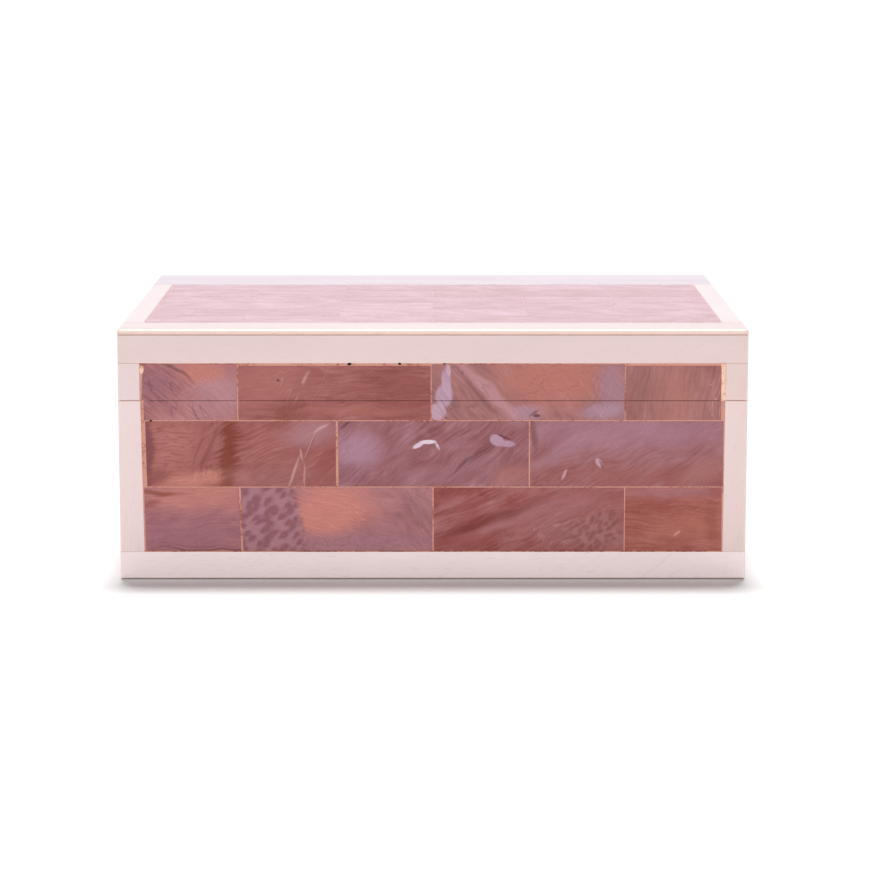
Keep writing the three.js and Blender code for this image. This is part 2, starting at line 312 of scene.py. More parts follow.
@dataclass(frozen=True)
class Vein:
    """Thin lines that follow a bending course through a tile."""

    spacing_mm: float
    turn: float
    stretch: float
    colour: str
    width: float = 0.012
    strength: float = 0.6
    zone: Patch | None = None


@dataclass(frozen=True)
class Pits:
    """A pocket of cells left by the inner skin of the shell."""

    size_mm: float
    zone: Patch
    dark: str
    pale: str
    strength: float = 0.8


@dataclass(frozen=True)
class ShellFigure:
    """Dyed and polished mother-of-pearl of one tile: fine growth lines with clouds, veins and cells in it.

    The slices are cut from the shell's wall, dyed rose-brown, glued down and sanded flush with 400 grit,
    then buffed: the eye gets soft painted strokes under a low gloss.
    """

    name: str
    ground: tuple[str, str, str, str]
    flow: float = 0.0
    streak_mm: float = 1.5
    stretch: float = 6.0
    bend_mm: float = 3.0
    cloud: float = 0.55
    patches: tuple[Patch, ...] = ()
    veins: tuple[Vein, ...] = ()
    pits: Pits | None = None
    counterflow: tuple[float, Patch] | None = None
    seed: float = 0.0
    # part tile tone, part painted shade: darker on the upper and middle courses and lighter on lower_a, to
    # even out light that falls stronger on the top of the front
    tone_and_shade_gain: float = 1.0

    def material(self) -> Material:
        """Builds the tile's material.

        Returns:
            The material.
        """
        material, tree, shader = new_material(f"dyed_shell_{self.name}", IOR=1.53, Specular_IOR_Level=0.3)
        add = partial(add_node, tree)
        spot = surface_place(tree)
        seeded = add(VECTOR_MATH, (spot, (0, 0, self.seed)), operation="ADD")
        bends = add(NOISE, {"Vector": seeded, "Scale": 0.06, "Detail": 1.2, "Roughness": 0.4})
        reach = self.bend_mm * 2
        shift = add(
            VECTOR_MATH, (bends.outputs["Color"], (reach, reach, 0), (-reach / 2, -reach / 2, 0)),
            operation="MULTIPLY_ADD",
        )
        bent = add(VECTOR_MATH, (seeded, shift), operation="ADD")
        figure = stroked(tree, bent, self.flow, 1.4 * self.stretch, 0.8 * self.streak_mm, 5, 0.52)
        if self.counterflow:
            turn, where = self.counterflow
            other = stroked(tree, bent, turn, 1.4 * self.stretch, 0.8 * self.streak_mm, 5, 0.52)
            mask = self._mask(tree, bent, figure, where)
            figure = add(MIX, (mask, figure, other))
        clouds = stroked(tree, bent, self.flow, 2.0, 8.0, 3, 0.55)
        fibres = stroked(tree, bent, self.flow, 9, 0.7, 4, 0.65)
        lift = add(MATH, (clouds, 1.0, -0.5), operation="MULTIPLY_ADD")
        muted = add(MATH, (figure, 0.62, 0.19), operation="MULTIPLY_ADD")
        value = add(MATH, (lift, 1.3 * self.cloud, muted), operation="MULTIPLY_ADD")
        places = (0.30, 0.44, 0.56, 0.72)
        colour = fill_ramp(
            add(RAMP, (value,)), [(p, under_polish(c)) for p, c in zip(places, self.ground)]
        ).outputs["Color"]
        for patch in self.patches:
            colour = self._lay(tree, colour, self._mask(tree, bent, figure, patch), patch.colour)
        for vein in self.veins:
            colour = self._lay(tree, colour, self._vein_mask(tree, bent, figure, vein), vein.colour)
        if self.pits:
            colour = self._sunk(tree, colour, bent, figure)
        grain = stroked(tree, seeded, self.flow, 4, 0.36, 3, 0.65)
        both = add(MATH, (grain, 0.8, fibres), operation="MULTIPLY_ADD")
        # painted shade in part: the gain scales the tile's colour to offset the uneven light across the front
        shade = add(MAP_RANGE, (both, 0.6, 1.2, 0.83 * self.tone_and_shade_gain, 1.10 * self.tone_and_shade_gain))
        shaded = add(VECTOR_MATH, {0: colour, "Scale": shade}, operation="SCALE")
        # painted shade: the tile's rounded edges beside the joints and the saw cut are darkened towards dark
        # brown, where the arris would otherwise catch the overhead light
        cut = add("ShaderNodeAttribute", attribute_name=CUT).outputs["Fac"]
        cut = add(MATH, (cut, 0.75), operation="MULTIPLY")
        shaded = add(MIX, (cut, shaded, linear("#5a2b26")), data_type="RGBA")
        gloss = add(MAP_RANGE, (figure, 0.3, 0.7, 0.36, 0.27))
        height = add(MATH, (grain, 0.5, figure), operation="MULTIPLY_ADD")
        relief = add("ShaderNodeBump", {"Strength": 0.25, "Distance": 0.00003, "Height": height})
        return dress(material, shader, shaded.outputs[2], relief.outputs[0], gloss.outputs[0])

    def _lay(self, tree: NodeTree, under: Any, mask: Any, colour: str) -> NodeSocket:
        """Lays a colour over another through a mask, and gives the mixed socket."""
        mixed = add_node(tree, MIX, (mask, under, under_polish(colour)), data_type="RGBA")
        return mixed.outputs[2]

    def _mask(self, tree: NodeTree, bent: Any, figure: Any, patch: Patch) -> Node:
        """The soft mask of a patch, frayed along the growth lines.

        Args:
            tree: The material's tree.
            bent: The bent place on the tile, in mm.
            figure: The growth lines' noise, which frays the mask's edge.
            patch: The patch.

        Returns:
            A node whose first output is the mask.
        """
        add = partial(add_node, tree)
        placed = add(
            MAPPING,
            {
                "Vector": bent if patch.ragged > 0.2 else surface_place(tree),
                "Location": (patch.u, patch.v, 0), "Rotation": (0, 0, math.radians(patch.turn)),
                "Scale": (patch.half_u, patch.half_v, 1e6),
            },
            vector_type="TEXTURE",
        )
        away = add(VECTOR_MATH, (placed,), operation="LENGTH").outputs["Value"]
        frayed = add(MATH, (figure, patch.ragged * 1.6, away), operation="MULTIPLY_ADD")
        middle = 1 + 0.8 * patch.ragged
        return add(
            MAP_RANGE, (frayed, middle - patch.soft, middle + patch.soft, patch.strength, 0.0),
            interpolation_type="SMOOTHSTEP",
        )

    def _vein_mask(self, tree: NodeTree, bent: Any, figure: Any, vein: Vein) -> Node:
        """The mask of thin lines.

        Args:
            tree: The material's tree.
            bent: The bent place on the tile, in mm.
            figure: The growth lines' noise.
            vein: The lines.

        Returns:
            The node that gives the mask.
        """
        away = from_line(tree, bent, vein.turn, vein.stretch, vein.spacing_mm, 1.5)
        strength = vein.strength if vein.zone else 0.3 * vein.strength
        mask = add_node(
            tree, MAP_RANGE, (away, 0.0, vein.width, strength, 0.0), interpolation_type="SMOOTHSTEP"
        )
        if vein.zone:
            where = self._mask(tree, bent, figure, vein.zone)
            mask = add_node(tree, MATH, (mask, where), operation="MULTIPLY")
        return mask

    def _sunk(self, tree: NodeTree, colour: Any, bent: Any, figure: Any) -> NodeSocket:
        """Lays the pocket of cells over a colour.

        Args:
            tree: The material's tree.
            colour: What lies under it.
            bent: The bent place on the tile, in mm.
            figure: The growth lines' noise.

        Returns:
            The mixed colour.
        """
        add = partial(add_node, tree)
        pits = self.pits
        drawn = add(
            MAPPING, {"Vector": bent, "Rotation": (0, 0, math.radians(35)), "Scale": (1.35, 0.85, 1)},
            vector_type="TEXTURE",
        )
        beside = add(VECTOR_MATH, (drawn, (0.16 * pits.size_mm, -0.2 * pits.size_mm, 0)), operation="ADD")
        depths = [
            add(
                "ShaderNodeTexVoronoi", {"Vector": place, "Scale": 1 / pits.size_mm, "Randomness": 0.85},
                feature="SMOOTH_F1", voronoi_dimensions="2D",
            ).outputs["Distance"]
            for place in (drawn, beside)
        ]
        shaded = add(MATH, (depths[0], depths[1]), operation="SUBTRACT")
        hollow = add(MATH, (shaded, 0.9, depths[0]), operation="MULTIPLY_ADD")
        wobble = add(MATH, (figure, 0.45, hollow), operation="MULTIPLY_ADD")
        middle = tuple((a + b) / 2 for a, b in zip(under_polish(pits.dark), under_polish(pits.pale)))
        shades = fill_ramp(
            add(RAMP, (wobble,)),
            [(0.42, under_polish(pits.dark)), (0.62, middle), (0.82, under_polish(pits.pale))],
        )
        where = self._mask(tree, bent, figure, pits.zone)
        mixed = add(MIX, (where, colour, shades), data_type="RGBA")
        return mixed.outputs[2]


@dataclass(frozen=True)
class FieldShell:
    """The same dyed shell where tiles differ only by chance: it reads each tile's tone and turn."""

    name: str
    dark: tuple[str, str, str]
    pale: tuple[str, str, str]
    streak_mm: float = 1.0
    coat: float = 0.0
    pearl: float = 0.0

    def material(self) -> Material:
        """Builds the material of a whole field of tiles.

        Returns:
            The material.
        """
        material, tree, shader = new_material(
            self.name, IOR=1.53, Specular_IOR_Level=0.35, Coat_Weight=self.coat, Coat_Roughness=0.15,
            Sheen_Weight=self.pearl, Sheen_Roughness=0.3, Sheen_Tint=linear("#ffb9cf"),
        )
        add = partial(add_node, tree)
        spot = surface_place(tree)
        tone = add("ShaderNodeAttribute", attribute_name=TONE).outputs["Fac"]
        turn = add("ShaderNodeAttribute", attribute_name=TURN).outputs["Fac"]
        turned = add("ShaderNodeVectorRotate", {"Vector": spot, "Angle": turn}, rotation_type="Z_AXIS")
        bends = add(NOISE, {"Vector": turned, "Scale": 0.055, "Detail": 1.5})
        shift = add(VECTOR_MATH, (bends.outputs["Color"], (6, 6, 0), (-3, -3, 0)), operation="MULTIPLY_ADD")
        bent = add(VECTOR_MATH, (turned, shift), operation="ADD")
        figure = stroked(tree, bent, 0, 11, self.streak_mm, 3, 0.42)
        clouds = stroked(tree, bent, 0, 2.5, 7, 3, 0.5)
        value = add(MATH, (figure, 0.6, clouds), operation="MULTIPLY_ADD")
        places = (0.52, 0.8, 1.08)
        ramps = [
            fill_ramp(add(RAMP, (value,)), [(p, under_polish(c)) for p, c in zip(places, colours)])
            for colours in (self.dark, self.pale)
        ]
        colour = add(MIX, (tone, ramps[0], ramps[1]), data_type="RGBA")
        away = from_line(tree, bent, 40, 7, 5.0, 1.5)
        vein = add(MAP_RANGE, (away, 0.0, 0.010, 0.25, 0.0), interpolation_type="SMOOTHSTEP")
        veined = add(MIX, (vein, colour, under_polish(self.pale[2])), data_type="RGBA")
        grain = stroked(tree, turned, 0, 5, 0.34, 3, 0.6)
        shade = add(MAP_RANGE, (grain, 0.25, 0.75, 0.95, 1.05))
        shaded = add(VECTOR_MATH, {0: veined, "Scale": shade}, operation="SCALE")
        relief = add("ShaderNodeBump", {"Strength": 0.25, "Distance": 0.00003, "Height": figure})
        gloss = add(MAP_RANGE, (figure, 0.3, 0.7, 0.34, 0.24))
        return dress(material, shader, shaded.outputs[0], relief.outputs[0], gloss.outputs[0])


@dataclass(frozen=True)
class Bone:
    """Bleached camel bone, sawn into strips and buffed.

    It is ivory-rose, with short pores along the strip; its rounded arrises take a warmer colour, partly the
    bone's own and partly painted light that lightens a rounding turned away from the light.
    """

    name: str
    colour: str
    arris: str = "#f3d8cd"
    pore: str = "#cbb0ae"
    vein: str = "#c9b9bd"
    stain: str = "#c07c58"

    def material(self) -> Material:
        """Builds the strip's material.

        Returns:
            The material.
        """
        material, tree, shader = new_material(
            f"bone_{self.name}", IOR=1.54, Coat_Weight=0.15, Coat_Roughness=0.15
        )
        add = partial(add_node, tree)
        spot = surface_place(tree)
        clouds = stroked(tree, spot, 0, 5, 14, 3, 0.5)
        # pores are 0.05 mm wide, drawn wider so that they show
        pores = stroked(tree, spot, 1, 14, 0.34, 2, 0.5)
        flecks = add(MAP_RANGE, (pores, 0.60, 0.74, 0.0, 0.45))
        tint = add(MAP_RANGE, (clouds, 0.3, 0.7, 0.965, 1.025))
        base = add(VECTOR_MATH, {0: under_polish(self.colour)[:3], "Scale": tint}, operation="SCALE")
        pored = add(MIX, (flecks, base, under_polish(self.pore)), data_type="RGBA")
        away = from_line(tree, spot, 38, 6, 11, 1)
        patchy = add(NOISE, {"Vector": spot, "Scale": 0.035, "Detail": 1.0})
        where = add(MAP_RANGE, (patchy, 0.54, 0.66, 0.0, 0.4))
        line = add(MAP_RANGE, (away, 0.0, 0.006, 1.0, 0.0), interpolation_type="SMOOTHSTEP")
        line = add(MATH, (line, where), operation="MULTIPLY")
        veined = add(MIX, (line, pored, under_polish(self.vein)), data_type="RGBA")
        # painted light in part: rounded arrises are mixed towards the arris colour, lighter than the shade a
        # forward-facing rounding would show
        rim = add("ShaderNodeAttribute", attribute_name=RIM).outputs["Fac"]
        warm = add(MAP_RANGE, (rim, 0.0, 0.4, 0.0, 0.7))
        rimmed = add(MIX, (warm, veined, under_polish(self.arris)), data_type="RGBA")
        cut = add("ShaderNodeAttribute", attribute_name=CUT).outputs["Fac"]
        rimmed = add(MIX, (cut, rimmed, under_polish(self.stain)), data_type="RGBA")
        gloss = add(MAP_RANGE, (clouds, 0.3, 0.7, 0.38, 0.28))
        relief = add("ShaderNodeBump", {"Strength": 0.2, "Distance": 0.00003, "Height": pores})
        return dress(material, shader, rimmed.outputs[2], relief.outputs[0], gloss.outputs[0])


@dataclass(frozen=True)
class Resin:
    """Tinted resin wiped into the joints and sanded with the tiles: matt, with dust and stain in it."""

    name: str
    clean: str
    stain: str
    stained: float = 0.25
    speck_mm: float = 1.2

    def material(self) -> Material:
        """Builds the resin's material.

        Returns:
            The material.
        """
        material, tree, shader = new_material(self.name, IOR=1.5, Roughness=0.5, Specular_IOR_Level=0.3)
        add = partial(add_node, tree)
        spot = object_place(tree)
        wide = add(NOISE, {"Vector": spot, "Scale": 0.06, "Detail": 3.0})
        specks = add(NOISE, {"Vector": spot, "Scale": 1 / self.speck_mm, "Detail": 4.0, "Roughness": 0.7})
        both = add(MATH, (wide, 0.8, specks), operation="MULTIPLY_ADD")
        edge = 1.05 - 0.35 * self.stained
        amount = add(MAP_RANGE, (both, edge - 0.08, edge + 0.12, 0.0, 1.0))
        tint = add(MAP_RANGE, (specks, 0.3, 0.7, 0.92, 1.06))
        base = add(VECTOR_MATH, {0: under_polish(self.clean)[:3], "Scale": tint}, operation="SCALE")
        mixed = add(MIX, (amount, base, under_polish(self.stain)), data_type="RGBA")
        relief = add("ShaderNodeBump", {"Strength": 0.3, "Distance": 0.00005, "Height": specks})
        return dress(material, shader, mixed.outputs[2], relief.outputs[0])


@dataclass(frozen=True)
class Hardwood:
    """Pale hardwood, planed and left bare: straight grain 1 to 2 mm apart, with short open pores."""

    name: str
    grain_turn: float

    def material(self) -> Material:
        """Builds the wood's material.

        Returns:
            The material.
        """
        material, tree, shader = new_material(self.name, IOR=1.5, Roughness=0.62)
        add = partial(add_node, tree)
        spot = object_place(tree)
        rings = stroked(tree, spot, self.grain_turn, 24, 1.7, 4, 0.6)
        pores = stroked(tree, spot, self.grain_turn, 16, 0.3, 2, 0.5)
        colour = fill_ramp(
            add(RAMP, (rings,)),
            [
                (0.3, linear("#a9794f")), (0.47, linear("#c1935f")), (0.6, linear("#d2aa78")),
                (0.72, linear("#dab988")),
            ],
        )
        dark = add(MAP_RANGE, (pores, 0.58, 0.72, 0.0, 0.6))
        mixed = add(MIX, (dark, colour, linear("#7c5433")), data_type="RGBA")
        relief = add("ShaderNodeBump", {"Strength": 0.4, "Distance": 0.00008, "Height": pores})
        return dress(material, shader, mixed.outputs[2], relief.outputs[0])


@dataclass(frozen=True)
class Metal:
    """Rolled or turned metal: brushed lines, with tarnish in its hollows."""

    name: str
    bright: str
    dull: str
    roughness: float
    brush_mm: float = 0.22  # brush marks are finer; drawn this wide so that they show

    def material(self) -> Material:
        """Builds the metal's material.

        Returns:
            The material.
        """
        material, tree, shader = new_material(self.name, Metallic=1.0)
        add = partial(add_node, tree)
        spot = object_place(tree)
        brush = stroked(tree, spot, 0, 18, self.brush_mm, 3, 0.6)
        tarnish = add(NOISE, {"Vector": spot, "Scale": 0.4, "Detail": 5.0, "Roughness": 0.65})
        amount = add(MAP_RANGE, (tarnish, 0.42, 0.7, 0.0, 0.85))
        mixed = add(MIX, (amount, linear(self.bright), linear(self.dull)), data_type="RGBA")
        both = add(MATH, (brush, 0.5, tarnish), operation="MULTIPLY_ADD")
        gloss = add(MAP_RANGE, (both, 0.45, 1.1, self.roughness - 0.08, self.roughness + 0.16))
        relief = add("ShaderNodeBump", {"Strength": 0.25, "Distance": 0.00002, "Height": brush})
        return dress(material, shader, mixed.outputs[2], relief.outputs[0], gloss.outputs[0])


@dataclass(frozen=True)
class Cloth:
    """Cut-pile velvet or pressed felt: patches of lighter colour where the nap is brushed, painted sheen on
    the velvet and mottling in the felt, and a soft sheen at its edge.
    """

    name: str
    deep: str
    lit: str
    sheen: str
    pile_mm: float
    sheen_weight: float

    def material(self) -> Material:
        """Builds the cloth's material.

        Returns:
            The material.
        """
        red, green, blue, _ = linear(self.sheen)
        material, tree, shader = new_material(
            self.name, IOR=1.45, Roughness=0.9, Sheen_Weight=self.sheen_weight, Sheen_Roughness=0.35,
            Sheen_Tint=(red, green, blue, 1.0), Specular_IOR_Level=0.2,
        )
        add = partial(add_node, tree)
        spot = object_place(tree)
        # painted sheen in part: the brushed nap is drawn as large patches between the deep and the lit colour
        nap = add(NOISE, {"Vector": spot, "Scale": 0.022, "Detail": 2.0, "Roughness": 0.5})
        pile = add(NOISE, {"Vector": spot, "Scale": 1 / self.pile_mm, "Detail": 3.0, "Roughness": 0.7})
        both = add(MATH, (pile, 0.45, nap), operation="MULTIPLY_ADD")
        colour = fill_ramp(add(RAMP, (both,)), [(0.38, linear(self.deep)), (1.08, linear(self.lit))])
        relief = add("ShaderNodeBump", {"Strength": 0.6, "Distance": 0.0002, "Height": pile})
        return dress(material, shader, colour.outputs[0], relief.outputs[0])


# ---- the box's faces


@dataclass(frozen=True)
class Face:
    """One outer face: u runs to the viewer's right, v up, depth inwards, all in mm."""

    origin: Triple
    along: Triple
    up: Triple
    out: Triple

    def points(self, u: np.ndarray, v: np.ndarray, depth: np.ndarray) -> np.ndarray:
        """Turns face places in mm to points in metres.

        Args:
            u: Places along the face.
            v: Places up the face.
            depth: Depths below the face.

        Returns:
            An array of points.
        """
        place = np.array(self.origin, float)
        place = place + np.outer(u, self.along) + np.outer(v, self.up) - np.outer(depth, self.out)
        return place * MM


@dataclass(frozen=True)
class BoxLines:
    """The planes and lines of the closed box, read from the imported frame, in mm.

    The facing reaches SEAM_CLOSE nearer the saw cut than the wood, where sanding has left a fine line.
    """

    SEAM_CLOSE: ClassVar[float] = 0.18
    left: float
    right: float
    front: float
    back: float
    foot: float
    body_rim: float
    lid_rim: float
    skin_top: float
    top: float

    @classmethod
    def from_frame(cls) -> BoxLines:
        """Reads the lines from the CAD nodes.

        Returns:
            The lines.
        """
        low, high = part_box("body_front_rail")
        _, lid_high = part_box("lid_front_rail")
        stile_low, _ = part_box("lid_front_left_stile")
        _, body_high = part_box("body_front_left_stile")
        _, back_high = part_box("body_back_border")
        _, top_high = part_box("top_front_strip")
        body_rim, lid_rim = body_high.z / MM + cls.SEAM_CLOSE, stile_low.z / MM - cls.SEAM_CLOSE
        levels = (low.z / MM, body_rim, lid_rim, lid_high.z / MM, top_high.z / MM)
        return cls(low.x / MM, high.x / MM, low.y / MM, back_high.y / MM, *levels)

    @property
    def middle_y(self) -> float:
        """The middle between the front and back faces."""
        return (self.front + self.back) / 2

    @property
    def half_depth(self) -> float:
        """Half the box from front to back."""
        return (self.back - self.front) / 2

    def face(self, name: str) -> Face:
        """Gives one of the box's faces.

        Args:
            name: front, back, left, right or top.

        Returns:
            The face.
        """
        middle = self.middle_y
        return {
            "front": Face((0, self.front, 0), (1, 0, 0), (0, 0, 1), (0, -1, 0)),
            "back": Face((0, self.back, 0), (-1, 0, 0), (0, 0, 1), (0, 1, 0)),
            "left": Face((self.left, middle, 0), (0, -1, 0), (0, 0, 1), (-1, 0, 0)),
            "right": Face((self.right, middle, 0), (0, 1, 0), (0, 0, 1), (1, 0, 0)),
            "top": Face((0, middle, self.top), (1, 0, 0), (0, 1, 0), (0, 0, 1)),
        }[name]


# ---- meshes


def mesh_object(
    name: str,
    points: np.ndarray,
    faces: Rings,
    material: Material,
    attributes: dict[str, np.ndarray] | None = None,
    sharp_angle: float = 40.0,
) -> Object:
    """Makes a mesh piece at the origin.

    Args:
        name: The piece's name.
        points: Its points in metres.
        faces: Its faces, outwards.
        material: Its finish.
        attributes: Point attributes by name, with one or three numbers a point.
        sharp_angle: Edges sharper than this, in degrees, are shaded sharp.

    Returns:
        The object, linked to the scene.
    """
    mesh = bpy.data.meshes.new(name)
    mesh.from_pydata([tuple(p) for p in points], [], faces)
    for key, values in (attributes or {}).items():
        kind = "FLOAT_VECTOR" if values.ndim == 2 else "FLOAT"
        attribute = mesh.attributes.new(key, kind, "POINT")
        attribute.data.foreach_set(
            "vector" if values.ndim == 2 else "value", values.astype(np.float32).ravel()
        )
    mesh.validate()
    mesh.materials.append(material)
    mesh.shade_smooth()
    mesh.set_sharp_from_angle(angle=math.radians(sharp_angle))
    piece = bpy.data.objects.new(name, mesh)
    bpy.context.scene.collection.objects.link(piece)
    return piece


def plain_mesh(piece: Object) -> Mesh:
    """Keeps the result of a piece's modifiers as a mesh.

    Args:
        piece: The piece with its modifiers.

    Returns:
        The new mesh.
    """
    depsgraph = bpy.context.evaluated_depsgraph_get()
    made = piece.evaluated_get(depsgraph)
    return bpy.data.meshes.new_from_object(made, preserve_all_data_layers=True, depsgraph=depsgraph)


def hand_over(piece: Object, body: Body, slot: Slot, *nodes: str) -> Object:
    """Gives a finished piece its body, hides the CAD nodes that it stands for, and reports it.

    Args:
        piece: The finished piece.
        body: The half of the box that carries it.
        slot: The record's material slot; not used.
        nodes: The CAD nodes that it stands for.

    Returns:
        The same piece.
    """
    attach(piece, body.value)
    if nodes:
        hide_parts(*nodes)
    LOG.info("%s rides on %s, %d faces", piece.name, body.value, len(piece.data.polygons))
    return piece


def spread(length: float, low_round: float, high_round: float, step: float) -> list[float]:
    """Places of the mesh lines across a strip, closer where its edges are rounded.

    Args:
        length: The strip's length in mm.
        low_round: The rounding at its start.
        high_round: The rounding at its end.
        step: The usual distance between lines.

    Returns:
        Distances from the start, from 0 to length.
    """
    turns = range(90, -1, -15) if max(low_round, high_round) > 0.4 else (90, 45, 0)
    arcs = [math.radians(turn) for turn in turns]
    hold = min(0.35, length / 8)  # a line close beside the rounding keeps the flat face's shading flat
    start = [low_round * (1 - math.sin(a)) for a in arcs] + [low_round + hold]
    end = [length - high_round - hold] + [length - high_round * (1 - math.sin(a)) for a in reversed(arcs)]
    count = max(1, round((end[0] - start[-1]) / step))
    inner = [start[-1] + (end[0] - start[-1]) * k / count for k in range(1, count)]
    return start + inner + end


def rectangle(left: float, right: float, low: float, high: float) -> Corners:
    """The corners of an upright rectangle, from low left round to high left."""
    return ((left, low), (right, low), (right, high), (left, high))


@dataclass(frozen=True)
class Slab:
    """A piece of the facing: a flat quadrilateral with rounded edges, its polished face a hair uneven.

    The corners run low left, low right, high right, high left. The rounding is that of the left, right,
    low and high edges.
    """

    face: Face
    corners: Corners
    thickness: float
    rounding: tuple[float, float, float, float] = (0.12, 0.12, 0.12, 0.12)
    centre: tuple[float, float] | None = None
    number: float = 0.0
    upright: bool = False
    step: float = 4.0
    uneven: float = 0.02
    sunk: float = 0.0

    def build(self, name: str, material: Material) -> Object:
        """Builds the slab as a closed mesh.

        Args:
            name: The piece's name.
            material: Its finish.

        Returns:
            The new object.
        """
        quad = np.array(self.corners, float)
        wide = (np.linalg.norm(quad[1] - quad[0]) + np.linalg.norm(quad[2] - quad[3])) / 2
        tall = (np.linalg.norm(quad[3] - quad[0]) + np.linalg.norm(quad[2] - quad[1])) / 2
        left, right, low, high = self.rounding
        across = spread(wide, left, right, self.step)
        upward = spread(tall, low, high, self.step)
        s, t = (grid.ravel() for grid in np.meshgrid(np.array(across), np.array(upward), indexing="ij"))
        a = np.maximum(np.maximum(0, 1 - s / left), np.maximum(0, 1 - (wide - s) / right))
        b = np.maximum(np.maximum(0, 1 - t / low), np.maximum(0, 1 - (tall - t) / high))
        radius_a = np.where(s < wide / 2, left, right)
        radius_b = np.where(t < tall / 2, low, high)
        squares = a * a + b * b
        both = np.minimum(1.0, squares)
        shared = (radius_a * a * a + radius_b * b * b) / np.maximum(squares, 1e-9)
        radius = np.where(both > 1e-9, shared, 0)
        depth = radius * (1 - np.sqrt(1 - both)) + self.sunk
        fs, ft = (s / wide)[:, None], (t / tall)[:, None]
        place = (quad[0] * (1 - fs) + quad[1] * fs) * (1 - ft) + (quad[3] * (1 - fs) + quad[2] * fs) * ft
        u, v = place[:, 0], place[:, 1]
        hum = [noise.noise(Vector((x * 0.045, y * 0.045, self.number * 7.3))) for x, y in zip(u, v)]
        depth = depth + self.uneven * (0.6 + np.array(hum))
        points = np.vstack(
            [self.face.points(u, v, depth), self.face.points(u, v, np.full_like(u, self.thickness))]
        )
        cu, cv = self.centre or tuple(quad.mean(axis=0))
        local = np.column_stack([v - cv, u - cu] if self.upright else [u - cu, v - cv])
        grain = np.column_stack([local, np.full(len(u), self.number * 13.7)])
        tight = np.where(radius < 0.3, both, 0)
        wide_rim = both - tight
        attributes = {
            GRAIN: np.vstack([grain, grain]),
            RIM: np.concatenate([wide_rim, wide_rim]),
            CUT: np.concatenate([tight, tight]),
        }
        return mesh_object(name, points, self._faces(len(across), len(upward)), material, attributes)

    @staticmethod
    def _faces(columns: int, rows: int) -> Rings:
        """The faces of two grids joined round their edge.

        Args:
            columns: Mesh lines along the slab.
            rows: Mesh lines up it.

        Returns:
            The faces, outwards.
        """
        under = columns * rows
        at: Callable[[int, int], int] = lambda i, j: i * rows + j
        faces: Rings = []
        for i in range(columns - 1):
            for j in range(rows - 1):
                quad = (at(i, j), at(i + 1, j), at(i + 1, j + 1), at(i, j + 1))
                faces += [quad, tuple(under + k for k in reversed(quad))]
        rim = (
            [at(i, 0) for i in range(columns)]
            + [at(columns - 1, j) for j in range(1, rows)]
            + [at(i, rows - 1) for i in range(columns - 2, -1, -1)]
            + [at(0, j) for j in range(rows - 2, 0, -1)]
        )
        for here, there in zip(rim, rim[1:] + rim[:1]):
            faces.append((here, under + here, under + there, there))
        return faces


@dataclass(frozen=True)
class Bar:
    """A rectangle of resin on a face, in mm."""

    u0: float
    u1: float
    v0: float
    v1: float


def build_lattice(
    name: str, face: Face, bars: list[Bar], top: float, bottom: float, material: Material
) -> Object:
    """Builds the resin between the tiles as one closed lattice.

    Args:
        name: The piece's name.
        face: The face that it lies in.
        bars: The rectangles that it fills, which may cross.
        top: The depth of its surface below the face.
        bottom: The depth of its underside.
        material: Its finish.

    Returns:
        The new object.
    """
    us = sorted({round(x, 4) for bar in bars for x in (bar.u0, bar.u1)})
    vs = sorted({round(x, 4) for bar in bars for x in (bar.v0, bar.v1)})

    def filled(i: int, j: int) -> bool:
        """True where a bar covers the cell."""
        if not (0 <= i < len(us) - 1 and 0 <= j < len(vs) - 1):
            return False
        u, v = (us[i] + us[i + 1]) / 2, (vs[j] + vs[j + 1]) / 2
        return any(bar.u0 < u < bar.u1 and bar.v0 < v < bar.v1 for bar in bars)

    index: dict[tuple[int, int, int], int] = {}

    def corner(i: int, j: int, level: int) -> int:
        """The number of a corner, added when it is first met."""
        return index.setdefault((i, j, level), len(index))

    faces: Rings = []
    for i in range(len(us) - 1):
        for j in range(len(vs) - 1):
            if not filled(i, j):
                continue
            ring = [(i, j), (i + 1, j), (i + 1, j + 1), (i, j + 1)]
            faces.append(tuple(corner(*c, 0) for c in ring))
            faces.append(tuple(corner(*c, 1) for c in reversed(ring)))
            beside = [(i, j - 1), (i + 1, j), (i, j + 1), (i - 1, j)]
            for (here, there), neighbour in zip(zip(ring, ring[1:] + ring[:1]), beside):
                if not filled(*neighbour):
                    faces.append((corner(*here, 0), corner(*here, 1), corner(*there, 1), corner(*there, 0)))
    u = np.array([us[i] for i, _, _ in index])
    v = np.array([vs[j] for _, j, _ in index])
    depth = np.array([bottom if level else top for _, _, level in index])
    return mesh_object(name, face.points(u, v, depth), faces, material, sharp_angle=30)


# ---- courses of tiles by Geometry Nodes


